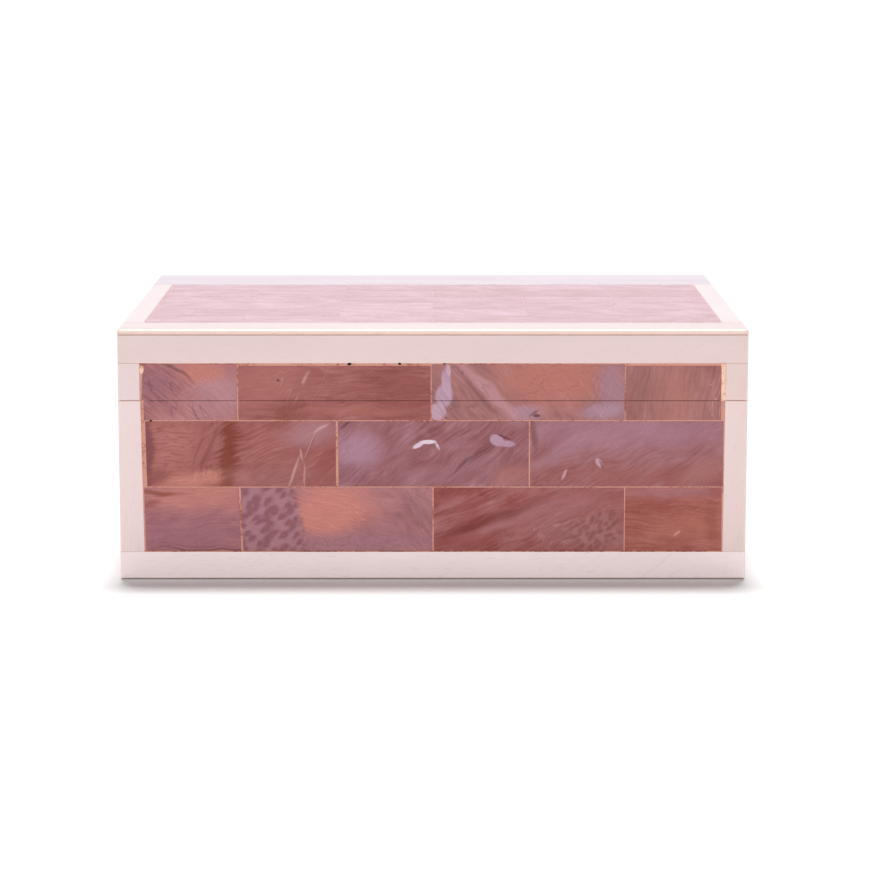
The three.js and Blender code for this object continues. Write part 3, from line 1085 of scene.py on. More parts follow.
class CourseTree:
    """A tree that lays one course of a running bond and adds it to what comes in."""

    COLUMNS = 13  # mesh lines along a tile
    ROWS = 7  # mesh lines up a tile

    def __init__(self) -> None:
        """Builds the tree with its named inputs."""
        self.tree = bpy.data.node_groups.new("course_of_tiles", "GeometryNodeTree")
        self.ids: dict[str, str] = {}
        self.tree.interface.new_socket("Geometry", in_out="OUTPUT", socket_type="NodeSocketGeometry")
        self.tree.interface.new_socket("Geometry", in_out="INPUT", socket_type="NodeSocketGeometry")
        floats = ["Low", "High", "Start", "End", "Joint place", "Pitch", "Joint", "Arris", "Thickness"]
        kinds = [(name, "NodeSocketFloat") for name in floats]
        kinds += [(name, "NodeSocketVector") for name in ("Origin", "Along", "Up", "Out")]
        kinds += [("Seed", "NodeSocketInt"), ("Finish", "NodeSocketMaterial")]
        for name, kind in kinds:
            socket = self.tree.interface.new_socket(name, in_out="INPUT", socket_type=kind)
            self.ids[name] = socket.identifier
        self._fill()

    def _fill(self) -> None:
        """Adds the nodes."""
        tree = self.tree
        add = partial(add_node, tree)
        given = add("NodeGroupInput").outputs
        ends = self._ends(given)
        start, end, count, index = ends
        width = add(MATH, (end, start), operation="SUBTRACT")
        middle = add(MATH, (start, end), operation="ADD")
        middle = add(MATH, (middle, 0.5), operation="MULTIPLY")
        half = add(MATH, (width, 0.5), operation="MULTIPLY")
        spots = add("GeometryNodePoints", {"Count": count})
        sliver = add(MATH, (width, 1.5 * MM), operation="LESS_THAN")
        chance = add(
            "FunctionNodeRandomValue", {"Min": 0.0, "Max": 1.0, "ID": index, "Seed": given["Seed"]},
            data_type="FLOAT",
        )
        other = add(MATH, (given["Seed"], 50), operation="ADD")
        swing = add(
            "FunctionNodeRandomValue", {"Min": -0.9, "Max": 0.9, "ID": index, "Seed": other},
            data_type="FLOAT",
        )
        laid: Any = spots
        for name, value in (
            (TONE, chance), (TURN, swing), ("middle", middle), ("half", half), ("sliver", sliver)
        ):
            laid = add(
                "GeometryNodeStoreNamedAttribute", {"Geometry": laid, "Name": name, "Value": value},
                data_type="FLOAT", domain="POINT",
            )
        gone = add("GeometryNodeInputNamedAttribute", {"Name": "sliver"}, data_type="FLOAT")
        kept = add("GeometryNodeDeleteGeometry", {"Geometry": laid, "Selection": gone}, domain="POINT")
        blank = add(
            "GeometryNodeMeshCube",
            {"Size": (1, 1, 1), "Vertices X": self.COLUMNS, "Vertices Y": self.ROWS, "Vertices Z": 2},
        )
        set_out = add("GeometryNodeInstanceOnPoints", {"Points": kept, "Instance": blank})
        tiles = add("GeometryNodeRealizeInstances", (set_out,))
        placed = self._place(given, tiles)
        joined = add("GeometryNodeJoinGeometry", (placed,))
        tree.links.new(given["Geometry"], joined.inputs[0])
        whole = add("GeometryNodeRealizeInstances", (joined,))
        finished = add("GeometryNodeSetMaterial", {"Geometry": whole, "Material": given["Finish"]})
        add("NodeGroupOutput", (finished,))

    def _ends(self, given: Any) -> tuple[Any, Any, Any, Any]:
        """Works out where each tile of the course starts and ends.

        Args:
            given: The group's inputs.

        Returns:
            The start, the end, the number of tiles and the tile's index, as nodes.
        """
        add = partial(add_node, self.tree)
        index = add("GeometryNodeInputIndex")
        run = add(MATH, (given["Start"], given["Joint place"]), operation="SUBTRACT")
        first = add(MATH, (run, given["Pitch"]), operation="DIVIDE")
        first = add(MATH, (first,), operation="FLOOR")
        length = add(MATH, (given["End"], given["Start"]), operation="SUBTRACT")
        count = add(MATH, (length, given["Pitch"]), operation="DIVIDE")
        count = add(MATH, (count,), operation="CEIL")
        count = add(MATH, (count, 1), operation="ADD")
        number = add(MATH, (first, index), operation="ADD")
        joint = add(MATH, (number, given["Pitch"], given["Joint place"]), operation="MULTIPLY_ADD")
        gap = add(MATH, (given["Joint"], 0.5), operation="MULTIPLY")
        left = add(MATH, (joint, gap), operation="ADD")
        left = add(MATH, (left, given["Start"]), operation="MAXIMUM")
        right = add(MATH, (joint, given["Pitch"]), operation="ADD")
        right = add(MATH, (right, gap), operation="SUBTRACT")
        right = add(MATH, (right, given["End"]), operation="MINIMUM")
        return left, right, count, index

    def _lines(self, place: Any, lines: int, middle: Any, half: Any, arris: Any) -> tuple[Any, Any]:
        """Moves the template's even mesh lines to a tile's, with the outer two an arris apart.

        Args:
            place: The template's place, from -0.5 to 0.5.
            lines: How many mesh lines the template has this way.
            middle: The tile's middle.
            half: Half the tile's length.
            arris: The width of the bevel.

        Returns:
            The new place, and 1 on the outermost lines.
        """
        add = partial(add_node, self.tree)
        step = add(MATH, (place, lines - 1, (lines - 1) / 2), operation="MULTIPLY_ADD")
        share = add(MAP_RANGE, (step, 1.0, lines - 2.0, -1.0, 1.0))
        flat = add(MATH, (half, arris), operation="SUBTRACT")
        inner = add(MATH, (share, flat, middle), operation="MULTIPLY_ADD")
        last = add(MATH, (step, lines - 1.5), operation="GREATER_THAN")
        first = add(MATH, (step, 0.5), operation="LESS_THAN")
        side = add(MATH, (last, first), operation="SUBTRACT")
        moved = add(MATH, (side, arris, inner), operation="MULTIPLY_ADD")
        outer = add(MATH, (last, first), operation="ADD")
        return moved, outer

    def _place(self, given: Any, tiles: Any) -> Any:
        """Gives the tiles their size, place and grain.

        Args:
            given: The group's inputs.
            tiles: The realized template tiles.

        Returns:
            The node with the placed tiles.
        """
        add = partial(add_node, self.tree)
        read = {
            name: add("GeometryNodeInputNamedAttribute", {"Name": name}, data_type="FLOAT")
            for name in ("middle", "half", TONE)
        }
        cube = add("ShaderNodeSeparateXYZ", (add("GeometryNodeInputPosition"),)).outputs
        height = add(MATH, (given["High"], given["Low"]), operation="SUBTRACT")
        half_v = add(MATH, (height, 0.5), operation="MULTIPLY")
        mid_v = add(MATH, (given["Low"], half_v), operation="ADD")
        u, ring_u = self._lines(cube["X"], self.COLUMNS, read["middle"], read["half"], given["Arris"])
        v, ring_v = self._lines(cube["Y"], self.ROWS, mid_v, half_v, given["Arris"])
        ring = add(MATH, (ring_u, ring_v), operation="MAXIMUM")
        lowered = add(MATH, (ring, given["Arris"]), operation="MULTIPLY")
        flat = add("ShaderNodeCombineXYZ", (u, v, read[TONE]))
        hum = add(NOISE, {"Vector": flat, "Scale": 60.0, "Detail": 1.0})
        hollow = add(MATH, (hum, 0.05 * MM, lowered), operation="MULTIPLY_ADD")
        under = add(MATH, (cube["Z"], 0.0), operation="LESS_THAN")
        depth = add(MIX, (under, hollow, given["Thickness"]))
        grain_u = add(MATH, (u, read["middle"]), operation="SUBTRACT")
        grain_v = add(MATH, (v, mid_v), operation="SUBTRACT")
        metres = add("ShaderNodeCombineXYZ", (grain_u, grain_v, read[TONE]))
        grain = add(VECTOR_MATH, {0: metres, "Scale": 1 / MM}, operation="SCALE")
        marked = add(
            "GeometryNodeStoreNamedAttribute", {"Geometry": tiles, "Name": GRAIN, "Value": grain},
            data_type="FLOAT_VECTOR", domain="POINT",
        )
        place: Any = given["Origin"]
        inwards = add(MATH, (depth, -1.0), operation="MULTIPLY")
        for direction, amount in (("Along", u), ("Up", v), ("Out", inwards)):
            leg = add(VECTOR_MATH, {0: given[direction], "Scale": amount}, operation="SCALE")
            place = add(VECTOR_MATH, (place, leg), operation="ADD")
        moved = add("GeometryNodeSetPosition", {"Geometry": marked, "Position": place})
        for name in ("middle", "half", "sliver"):
            moved = add("GeometryNodeRemoveAttribute", {"Geometry": moved, "Name": name})
        return moved


@dataclass(frozen=True)
class Course:
    """One course of a field: its lower and upper line and the place of one of its joints, in mm."""

    low: float
    high: float
    joint_place: float


@dataclass(frozen=True)
class TileField:
    """A field of tiles in running bond on one face."""

    face: Face
    start: float
    end: float
    courses: tuple[Course, ...]
    seed: int
    pitch: float = 78.0
    joint: float = 0.4
    arris: float = 0.12
    thickness: float = FACING

    def build(self, name: str, tree: CourseTree, material: Material) -> Object:
        """Lays the courses one after another and keeps the result as a plain mesh.

        Args:
            name: The piece's name.
            tree: The tree that lays a course.
            material: The tiles' finish.

        Returns:
            The new object.
        """
        holder = bpy.data.objects.new(f"{name}_holder", bpy.data.meshes.new(f"{name}_holder"))
        bpy.context.scene.collection.objects.link(holder)
        face = self.face
        for number, course in enumerate(self.courses):
            lay = holder.modifiers.new(f"course_{number}", "NODES")
            lay.node_group = tree.tree
            sizes = {
                "Low": course.low, "High": course.high, "Start": self.start, "End": self.end,
                "Joint place": course.joint_place, "Pitch": self.pitch, "Joint": self.joint,
                "Arris": self.arris, "Thickness": self.thickness,
            }
            for key, value in sizes.items():
                lay[tree.ids[key]] = value * MM
            lay[tree.ids["Origin"]] = [x * MM for x in face.origin]
            for key, value in (("Along", face.along), ("Up", face.up), ("Out", face.out)):
                lay[tree.ids[key]] = [float(x) for x in value]
            lay[tree.ids["Seed"]] = self.seed + 7 * number
            lay[tree.ids["Finish"]] = material
        mesh = plain_mesh(holder)
        mesh.name = name
        mesh.shade_smooth()
        mesh.set_sharp_from_angle(angle=math.radians(40))
        bpy.data.objects.remove(holder)
        piece = bpy.data.objects.new(name, mesh)
        bpy.context.scene.collection.objects.link(piece)
        return piece

    def bars(self) -> list[Bar]:
        """The resin round and between the tiles, keyed a little under their edges.

        Returns:
            The rectangles that the resin fills.
        """
        key = 0.15
        sliver = 1.6  # where a sliver of tile would be too narrow, resin fills its place
        gap = self.joint / 2
        low, high = self.courses[0].low, self.courses[-1].high
        found = [
            Bar(self.start - 2 * gap, self.start + sliver, low, high),
            Bar(self.end - sliver, self.end + 2 * gap, low, high),
        ]
        for lower, upper in zip(self.courses, self.courses[1:]):
            found.append(Bar(self.start, self.end, lower.high - key, upper.low + key))
        for course in self.courses:
            place = course.joint_place + self.pitch * math.floor(
                (self.start - course.joint_place) / self.pitch
            )
            while place < self.end:
                if place > self.start + 1:
                    found.append(Bar(place - gap - key, place + gap + key, course.low, course.high))
                place += self.pitch
        return found


# ---- the front's figures

# each figure's gain is part tile tone, part painted shade that evens out the front's light from course to
# course
FIGURES: tuple[ShellFigure, ...] = (
    ShellFigure(
        "upper_a", ("#966165", "#a87071", "#b17879", "#b88285"), flow=-38, streak_mm=1.3, seed=3, tone_and_shade_gain=0.93,
        patches=(
            Patch(-14.3, 3.0, 6.5, 6.5, "#8f6170"),
            Patch(12, -1, 9, 8, "#b98d97", strength=0.55),
            Patch(5, 8.8, 9, 4.2, "#c17d72", strength=0.85, soft=0.6),
            Patch(-6, 9.3, 5.5, 0.7, "#7d4f55", turn=-21, strength=0.75, soft=0.5, ragged=0.5),
            Patch(-1, 7.0, 3.5, 0.6, "#8a5555", turn=-50, soft=0.5, ragged=0.5),
        ),
        veins=(
            Vein(4.2, -55, 3, "#7c525f", 0.03, 0.7, zone(-13.5, 3, 7, 7)),
            Vein(5.0, -60, 5, "#84596a", 0.02, 0.7, zone(-2, -8, 20, 4)),
            Vein(6.0, 30, 5, "#c49aa2", 0.015, 0.5),
        ),
    ),
    ShellFigure(
        "upper_b", ("#93544f", "#9e605c", "#a86865", "#b57873"), flow=4, streak_mm=1.3,
        cloud=0.45, seed=7, tone_and_shade_gain=0.86,
        patches=(
            Patch(-27, 4, 15, 9, "#b7766f"),
            Patch(26, 0, 17, 13, "#91514c"),
            Patch(-19, -8, 7, 4.5, "#87493f", strength=0.65, soft=0.6),
            Patch(8, -8, 24, 1.4, "#b5736a", strength=0.5, soft=0.6),
            Patch(-22.6, 4.7, 0.7, 0.5, "#5e3135", strength=0.85, soft=0.3, ragged=0.1),
        ),
        veins=(
            Vein(5.0, 58, 5, "#c99691", 0.018, 0.75, zone(-14, 5, 9, 9)),
            Vein(9.0, 40, 4, "#c08a86", 0.010, 0.4),
        ),
    ),
    ShellFigure(
        "upper_c", ("#916068", "#a1706f", "#b07774", "#b8858a"), flow=-48, streak_mm=1.2, seed=11, tone_and_shade_gain=0.86,
        patches=(
            Patch(9, 5, 22, 11, "#c27b70", strength=0.8, soft=0.6),
            Patch(35, 0, 5.5, 13, "#ab8290", strength=0.7, soft=0.6),
            Patch(-2, -8.5, 8, 3, "#b890a0", strength=0.7, soft=0.5),
            Patch(30, -8, 8, 3, "#b591a2", strength=0.7, soft=0.5),
            Patch(-16, 0, 16, 2.4, "#c18e95", turn=-47, strength=0.85, soft=0.4),
            Patch(-21, 0, 15, 0.9, "#865a5e", turn=-50, soft=0.5),
            Patch(-34.0, -1.6, 3.4, 4.6, "#c4a0b3", turn=-4, strength=0.9, soft=0.2, ragged=0.15),
            Patch(-33.0, 3.8, 1.9, 5.4, "#c4a0b3", turn=6, strength=0.9, soft=0.25, ragged=0.15),
            Patch(-32.2, 9, 0.9, 2.6, "#cba7ba", turn=8, strength=0.9, soft=0.3, ragged=0.12),
            Patch(-36.5, -8, 3.4, 3.4, "#c7a3b3", strength=0.9, soft=0.2, ragged=0.15),
            Patch(3.4, -9.6, 1.4, 0.7, "#5d3a3a", strength=0.8, soft=0.3, ragged=0.15),
            Patch(2.2, -8.4, 2.2, 0.5, "#7d5050", turn=25, strength=0.7, soft=0.4, ragged=0.3),
        ),
        veins=(
            Vein(3.4, -55, 6, "#7d5358", 0.020, 0.6, zone(-28, 0, 9, 14)),
            Vein(3.6, 5, 4, "#a4635c", 0.022, 0.55, zone(12, 4, 17, 9)),
            Vein(3.0, 62, 6, "#c9a5af", 0.02, 0.45, zone(32, -1, 8, 13)),
        ),
        counterflow=(12, zone(12, 0, 20, 14)),
    ),
    ShellFigure(
        "upper_d", ("#8f5e5b", "#9e6a67", "#a8726f", "#b07b79"), flow=84, streak_mm=1.2,
        stretch=8, seed=15, tone_and_shade_gain=0.92,
        patches=(
            Patch(-15, 0, 6, 13, "#93635f", strength=0.55),
            Patch(1, 0, 7, 13, "#b4786d", strength=0.55),
        ),
        veins=(
            Vein(2.2, 84, 9, "#c39a96", 0.02, 0.6, zone(17, 0, 3, 14)),
            Vein(5.0, 82, 8, "#bb8d89", 0.012, 0.5),
        ),
    ),
    ShellFigure(
        "middle_a", ("#8b4f49", "#9a5c59", "#a56763", "#b27672"), flow=24, streak_mm=1.4,
        cloud=0.4, seed=19, tone_and_shade_gain=0.92,
        counterflow=(2, zone(-29, 0, 13, 16, soft=0.4)),
        patches=(
            Patch(-27, 2, 9, 12, "#c17f75", strength=0.45, ragged=1.6),
            Patch(-16, -10.3, 15, 2.8, "#cb887c", turn=8, strength=0.8, soft=0.6),
            Patch(-37.3, 0, 2.2, 16, "#7a464c", strength=0.75, soft=0.6),
            Patch(-33, -9, 5, 3, "#8b4f4c", soft=0.6),
            Patch(-5.2, 1, 3.6, 20, "#7a3a2c", turn=-4, strength=0.8, ragged=1.3),
            Patch(-13.0, 2, 10, 0.9, "#8d4f48", turn=74, soft=0.6),
            Patch(-17.5, 1, 9, 0.6, "#94564f", turn=78, soft=0.6),
            Patch(29, 9, 11, 5, "#b1838c", strength=0.65),
            Patch(34, -7, 8, 7, "#91504d", strength=0.55),
            Patch(12, -9, 16, 4, "#a2706f", strength=0.45),
            Patch(29.0, 5.0, 7.0, 0.55, "#c89b9c", turn=58, soft=0.5, ragged=0.25),
            Patch(33.0, 10.4, 3.4, 0.7, "#c9a0a4", turn=30, strength=0.8, soft=0.5, ragged=0.25),
            Patch(28.3, 3.4, 6.5, 0.35, "#7e4a4b", turn=58, strength=0.7, soft=0.5, ragged=0.25),
            Patch(20.7, -6.4, 6.6, 0.55, "#cda19c", turn=71, soft=0.5, ragged=0.25),
            Patch(23.6, 0.6, 2.4, 0.45, "#cda19c", turn=100, soft=0.5, ragged=0.25),
            Patch(25.6, -8.4, 5.0, 0.45, "#c79893", turn=98, soft=0.5, ragged=0.25),
        ),
        veins=(
            Vein(8.0, 35, 5, "#bd8784", 0.010, 0.45),
            Vein(1.5, 2, 8, "#8a4e47", 0.045, 0.6, zone(-29, 2, 11, 12)),
            Vein(2.2, 78, 7, "#8a4b42", 0.035, 0.5, zone(-11, 2, 8, 13)),
        ),
    ),
    ShellFigure(
        "middle_b", ("#8a5558", "#976166", "#a26d74", "#b2828d"), flow=38, streak_mm=1.4, seed=23, tone_and_shade_gain=0.86,
        patches=(
            Patch(-31.5, 1.6, 9.5, 7, "#b88ca0", strength=0.8, soft=0.6),
            Patch(-34, -8, 6, 4, "#8f5d66", strength=0.5, soft=0.6),
            Patch(31.5, -9.3, 8, 4.5, "#b57772", strength=0.65, soft=0.6),
            Patch(2, -8, 20, 4, "#ab7c85", turn=10, strength=0.4),
            Patch(-34.8, 11, 3.0, 0.5, "#74464c", turn=33, strength=0.85, soft=0.4, ragged=0.3),
            Patch(15.3, -1, 9.0, 0.7, "#70454a", turn=38, strength=0.75, soft=0.6, ragged=0.5),
            Patch(19.5, 0.8, 8.0, 0.45, "#7c5055", turn=40, soft=0.6, ragged=0.5),
            Patch(-6.0, 3.6, 2.6, 0.9, "#dfc6d3", turn=28, strength=1.0, soft=0.25, ragged=0.08),
            Patch(-2.2, 4.9, 3.2, 0.85, "#e8d3de", turn=2, strength=1.0, soft=0.25, ragged=0.08),
            Patch(1.6, 3.4, 1.9, 0.5, "#d6b9c7", turn=-62, strength=0.95, soft=0.3, ragged=0.08),
            Patch(25.6, 5.6, 2.9, 2.2, "#c39bb0", turn=-30, strength=0.9, soft=0.2, ragged=0.12),
            Patch(29.4, 4.2, 3.6, 1.3, "#bf95a9", turn=-4, strength=0.9, soft=0.25, ragged=0.12),
            # painted shadow: a dark line above and to the right of the pale chip
            Patch(28.6, 6.9, 3.0, 0.45, "#6b4047", turn=-22, strength=0.8, soft=0.4, ragged=0.12),
        ),
        veins=(
            Vein(6.5, 55, 5, "#c095a0", 0.012, 0.55),
            Vein(5.0, 40, 7, "#805057", 0.014, 0.4),
            Vein(3.0, 60, 4, "#7c4e57", 0.03, 0.5, zone(-33, -8, 6, 5)),
        ),
    ),
    ShellFigure(
        "middle_c", ("#8c5554", "#9a6264", "#a36e72", "#ab7b83"), flow=26, streak_mm=1.3, seed=27, tone_and_shade_gain=0.89,
        patches=(
            Patch(0, 9.5, 46, 6.5, "#ac8090", strength=0.65),
            Patch(6, -9.5, 44, 5, "#a05f59"),
            Patch(-24, 3, 12, 3, "#b08592", turn=30, strength=0.5, soft=0.6),
            Patch(-37.8, 8, 1.4, 7, "#79494b", soft=0.6),
            Patch(30, -7.5, 9, 4.5, "#b27b76", turn=25, strength=0.5),
            Patch(-25.2, -8.4, 2.2, 0.6, "#dcaeb4", turn=66, soft=0.35, ragged=0.15),
            Patch(-11.2, -3.6, 2.0, 1.1, "#cda3b0", turn=-60, strength=0.85, soft=0.35, ragged=0.15),
            Patch(-10.2, -4.4, 2.0, 0.5, "#7c4c4e", turn=-65, soft=0.4, ragged=0.2),
        ),
        veins=(
            Vein(3.4, 28, 8, "#8b5659", 0.02, 0.45),
            Vein(4.0, 40, 9, "#c093a0", 0.014, 0.4),
        ),
    ),
    ShellFigure(
        "lower_a", ("#8e5a5f", "#9c676b", "#a87172", "#b67a74"), flow=5, streak_mm=1.0, seed=31, tone_and_shade_gain=1.045,
        patches=(
            Patch(4, 9, 18, 5.5, "#bb7a70", strength=0.75),
            Patch(-2, -6.5, 26, 9, "#93636f", strength=0.7),
            Patch(-12, 10.6, 8, 1.0, "#87493f", turn=-3, strength=0.8, ragged=1.4),
            Patch(-16, 7.0, 4.5, 1.0, "#8a4d47", turn=12, strength=0.7, ragged=1.4),
            Patch(6, -12.2, 16, 0.35, "#6c454c", turn=-1, strength=0.8, soft=0.6, ragged=0.3),
            Patch(2, -10.6, 14, 0.3, "#7a505a", turn=-2, soft=0.6, ragged=0.3),
        ),
        veins=(Vein(2.0, 4, 8, "#83545d", 0.025, 0.45), Vein(4.0, 50, 4, "#b98b8f", 0.010, 0.35)),
    ),
    ShellFigure(
        "lower_b", ("#8f5b5e", "#9e6b6f", "#aa7578", "#ba7f7b"), flow=-14, streak_mm=1.2, seed=35,
        counterflow=(-58, zone(32, 0, 9, 16, soft=0.5)),
        patches=(
            Patch(-3, 3.5, 17, 10, "#c57f74", strength=0.9, soft=0.55),
            Patch(8, -10, 30, 4.2, "#a3747f", strength=0.75),
            Patch(20, -4, 9, 3, "#a27078", turn=14),
            Patch(34, 6, 7, 7, "#9c7176"),
            Patch(-30, 4, 12, 14, "#a1747f", strength=0.75, soft=0.5, ragged=0.3),
        ),
        pits=Pits(3.7, zone(-42.5, 0, 28, 60, turn=13, strength=0.9, soft=0.08, ragged=0.25),
                  "#8a5962", "#a5777f"),
        veins=(
            Vein(2.4, -60, 7, "#8a5c62", 0.03, 0.6, zone(33, 0, 8, 15)),
            Vein(5.0, -20, 6, "#d0958a", 0.014, 0.45, zone(-3, 3, 15, 9)),
            Vein(2.0, 10, 2, "#87606b", 0.04, 0.5, zone(6, -10, 30, 4)),
        ),
    ),
    ShellFigure(
        "lower_c", ("#7f413f", "#91524f", "#9c605f", "#a56e6e"), flow=21, streak_mm=1.5, cloud=0.6, seed=39,
        patches=(
            Patch(-16, -0.5, 27, 1.9, "#753b37", turn=21, strength=0.75, soft=0.8),
            Patch(-22, 7, 18, 1.3, "#82433e", turn=18, soft=0.8),
            Patch(-2, 1.5, 26, 1.2, "#a87073", turn=20, strength=0.55),
            Patch(14, 5, 22, 5, "#a36d70", turn=14),
            Patch(24, -6, 16, 6, "#9f6d70", soft=0.6),
            Patch(-28, -9, 12, 3, "#94534f", strength=0.5, soft=0.6),
        ),
        pits=Pits(2.4, zone(27, -5, 12, 8, turn=25, strength=0.7, soft=0.3, ragged=0.6),
                  "#88534f", "#a06d6f"),
        veins=(
            Vein(3.4, 22, 8, "#7b423f", 0.022, 0.6),
            Vein(2.6, 34, 5, "#b98889", 0.03, 0.5, zone(12, -4, 18, 7)),
        ),
    ),
    ShellFigure(
        "lower_d", ("#8f5047", "#9b5b52", "#a4645b", "#b06f67"), flow=1, streak_mm=1.1, stretch=9, seed=43,
        patches=(
            Patch(-11, 6, 10, 5, "#8c4c45", strength=0.55),
            Patch(-2, 11, 20, 2.5, "#a2717a", strength=0.55),
            Patch(8, -3, 12, 4, "#b06d60", strength=0.5),
            Patch(1.6, -5.8, 1.8, 0.6, "#cd8b82", turn=38, strength=0.7, soft=0.3, ragged=0.12),
            Patch(16.5, 0, 2.5, 13, "#8e5149", strength=0.5, soft=0.6),
        ),
        veins=(Vein(1.6, 1, 12, "#85483f", 0.03, 0.45), Vein(5.0, 55, 5, "#bb8279", 0.010, 0.4)),
    ),
)


# ---- sub-assemblies


@dataclass(frozen=True)
class Finishes:
    """The materials that several sub-assemblies share."""

    resin: Material
    lid_resin: Material
    glue: Material
    bone: Material
    field: Material
    lid_field: Material
    courses: CourseTree

    @classmethod
    def made(cls) -> Finishes:
        """Builds the shared materials and the tree that lays a course.

        Returns:
            The finishes.
        """
        side_dark, side_pale = ("#8a514d", "#9a605d", "#a87270"), ("#96666b", "#a97578", "#b98a92")
        return cls(
            Resin("joint_resin", "#c99283", "#96564a", 0.2).material(),
            Resin("lid_resin", "#d2abb0", "#bb908e", 0.1).material(),
            # the glue's clean colour is lightened as painted light, against the shade it lies in under the
            # lid's front roundover; its brown specks are real stain
            Resin("stained_glue", "#efc6ad", "#85472a", 0.2, 1.1).material(),
            Bone("plain", "#e6d0cf").material(),
            FieldShell("dyed_shell_sides", side_dark, side_pale).material(),
            # part dye colour, part painted sheen: the lid's palette is paler and pinker than the sides'
            # though the shell is the same, standing in for the pink grazing sheen on the top
            FieldShell(
                "dyed_shell_lid", ("#9e6a72", "#b5848e", "#c79ba6"), ("#b27d8b", "#c598a6", "#d6b1bf"),
                coat=0.35, pearl=0.5,
            ).material(),
            CourseTree(),
        )


@dataclass(frozen=True)
class FrontTile:
    """One tile of the front: its corners, its figure and the CAD node that it stands for."""

    name: str
    figure: str
    corners: Corners
    centre: tuple[float, float]
    body: Body
    node: str


@dataclass(frozen=True)
class Fill:
    """A blob of filler pressed into a chipped joint and sanded almost flush; sizes are in mm."""

    name: str
    u: float
    v: float
    half_u: float
    half_v: float
    body: Body
    rise: float = 0.02
    sides: int = 18

    def build(self, face: Face, material: Material) -> Object:
        """Builds the blob as a closed low dome.

        Args:
            face: The face that it lies in.
            material: Its finish.

        Returns:
            The new object.
        """
        turns = [2 * math.pi * k / self.sides for k in range(self.sides)]
        ragged = [1 + 0.22 * noise.noise(Vector((math.cos(t), math.sin(t), self.u))) for t in turns]
        rings = [(1.0, 0.3), (1.0, 0.0), (0.8, -self.rise)]
        u, v, depth = [], [], []
        for scale, deep in rings:
            for t, r in zip(turns, ragged):
                u.append(self.u + self.half_u * scale * r * math.cos(t))
                v.append(self.v + self.half_v * scale * r * math.sin(t))
                depth.append(deep)
        n = self.sides
        faces: Rings = [tuple(range(2 * n, 3 * n)), tuple(reversed(range(n)))]
        for ring in range(2):
            for k in range(n):
                here, there = ring * n + k, ring * n + (k + 1) % n
                faces.append((here, there, there + n, here + n))
        return mesh_object(self.name, face.points(np.array(u), np.array(v), np.array(depth)), faces, material)


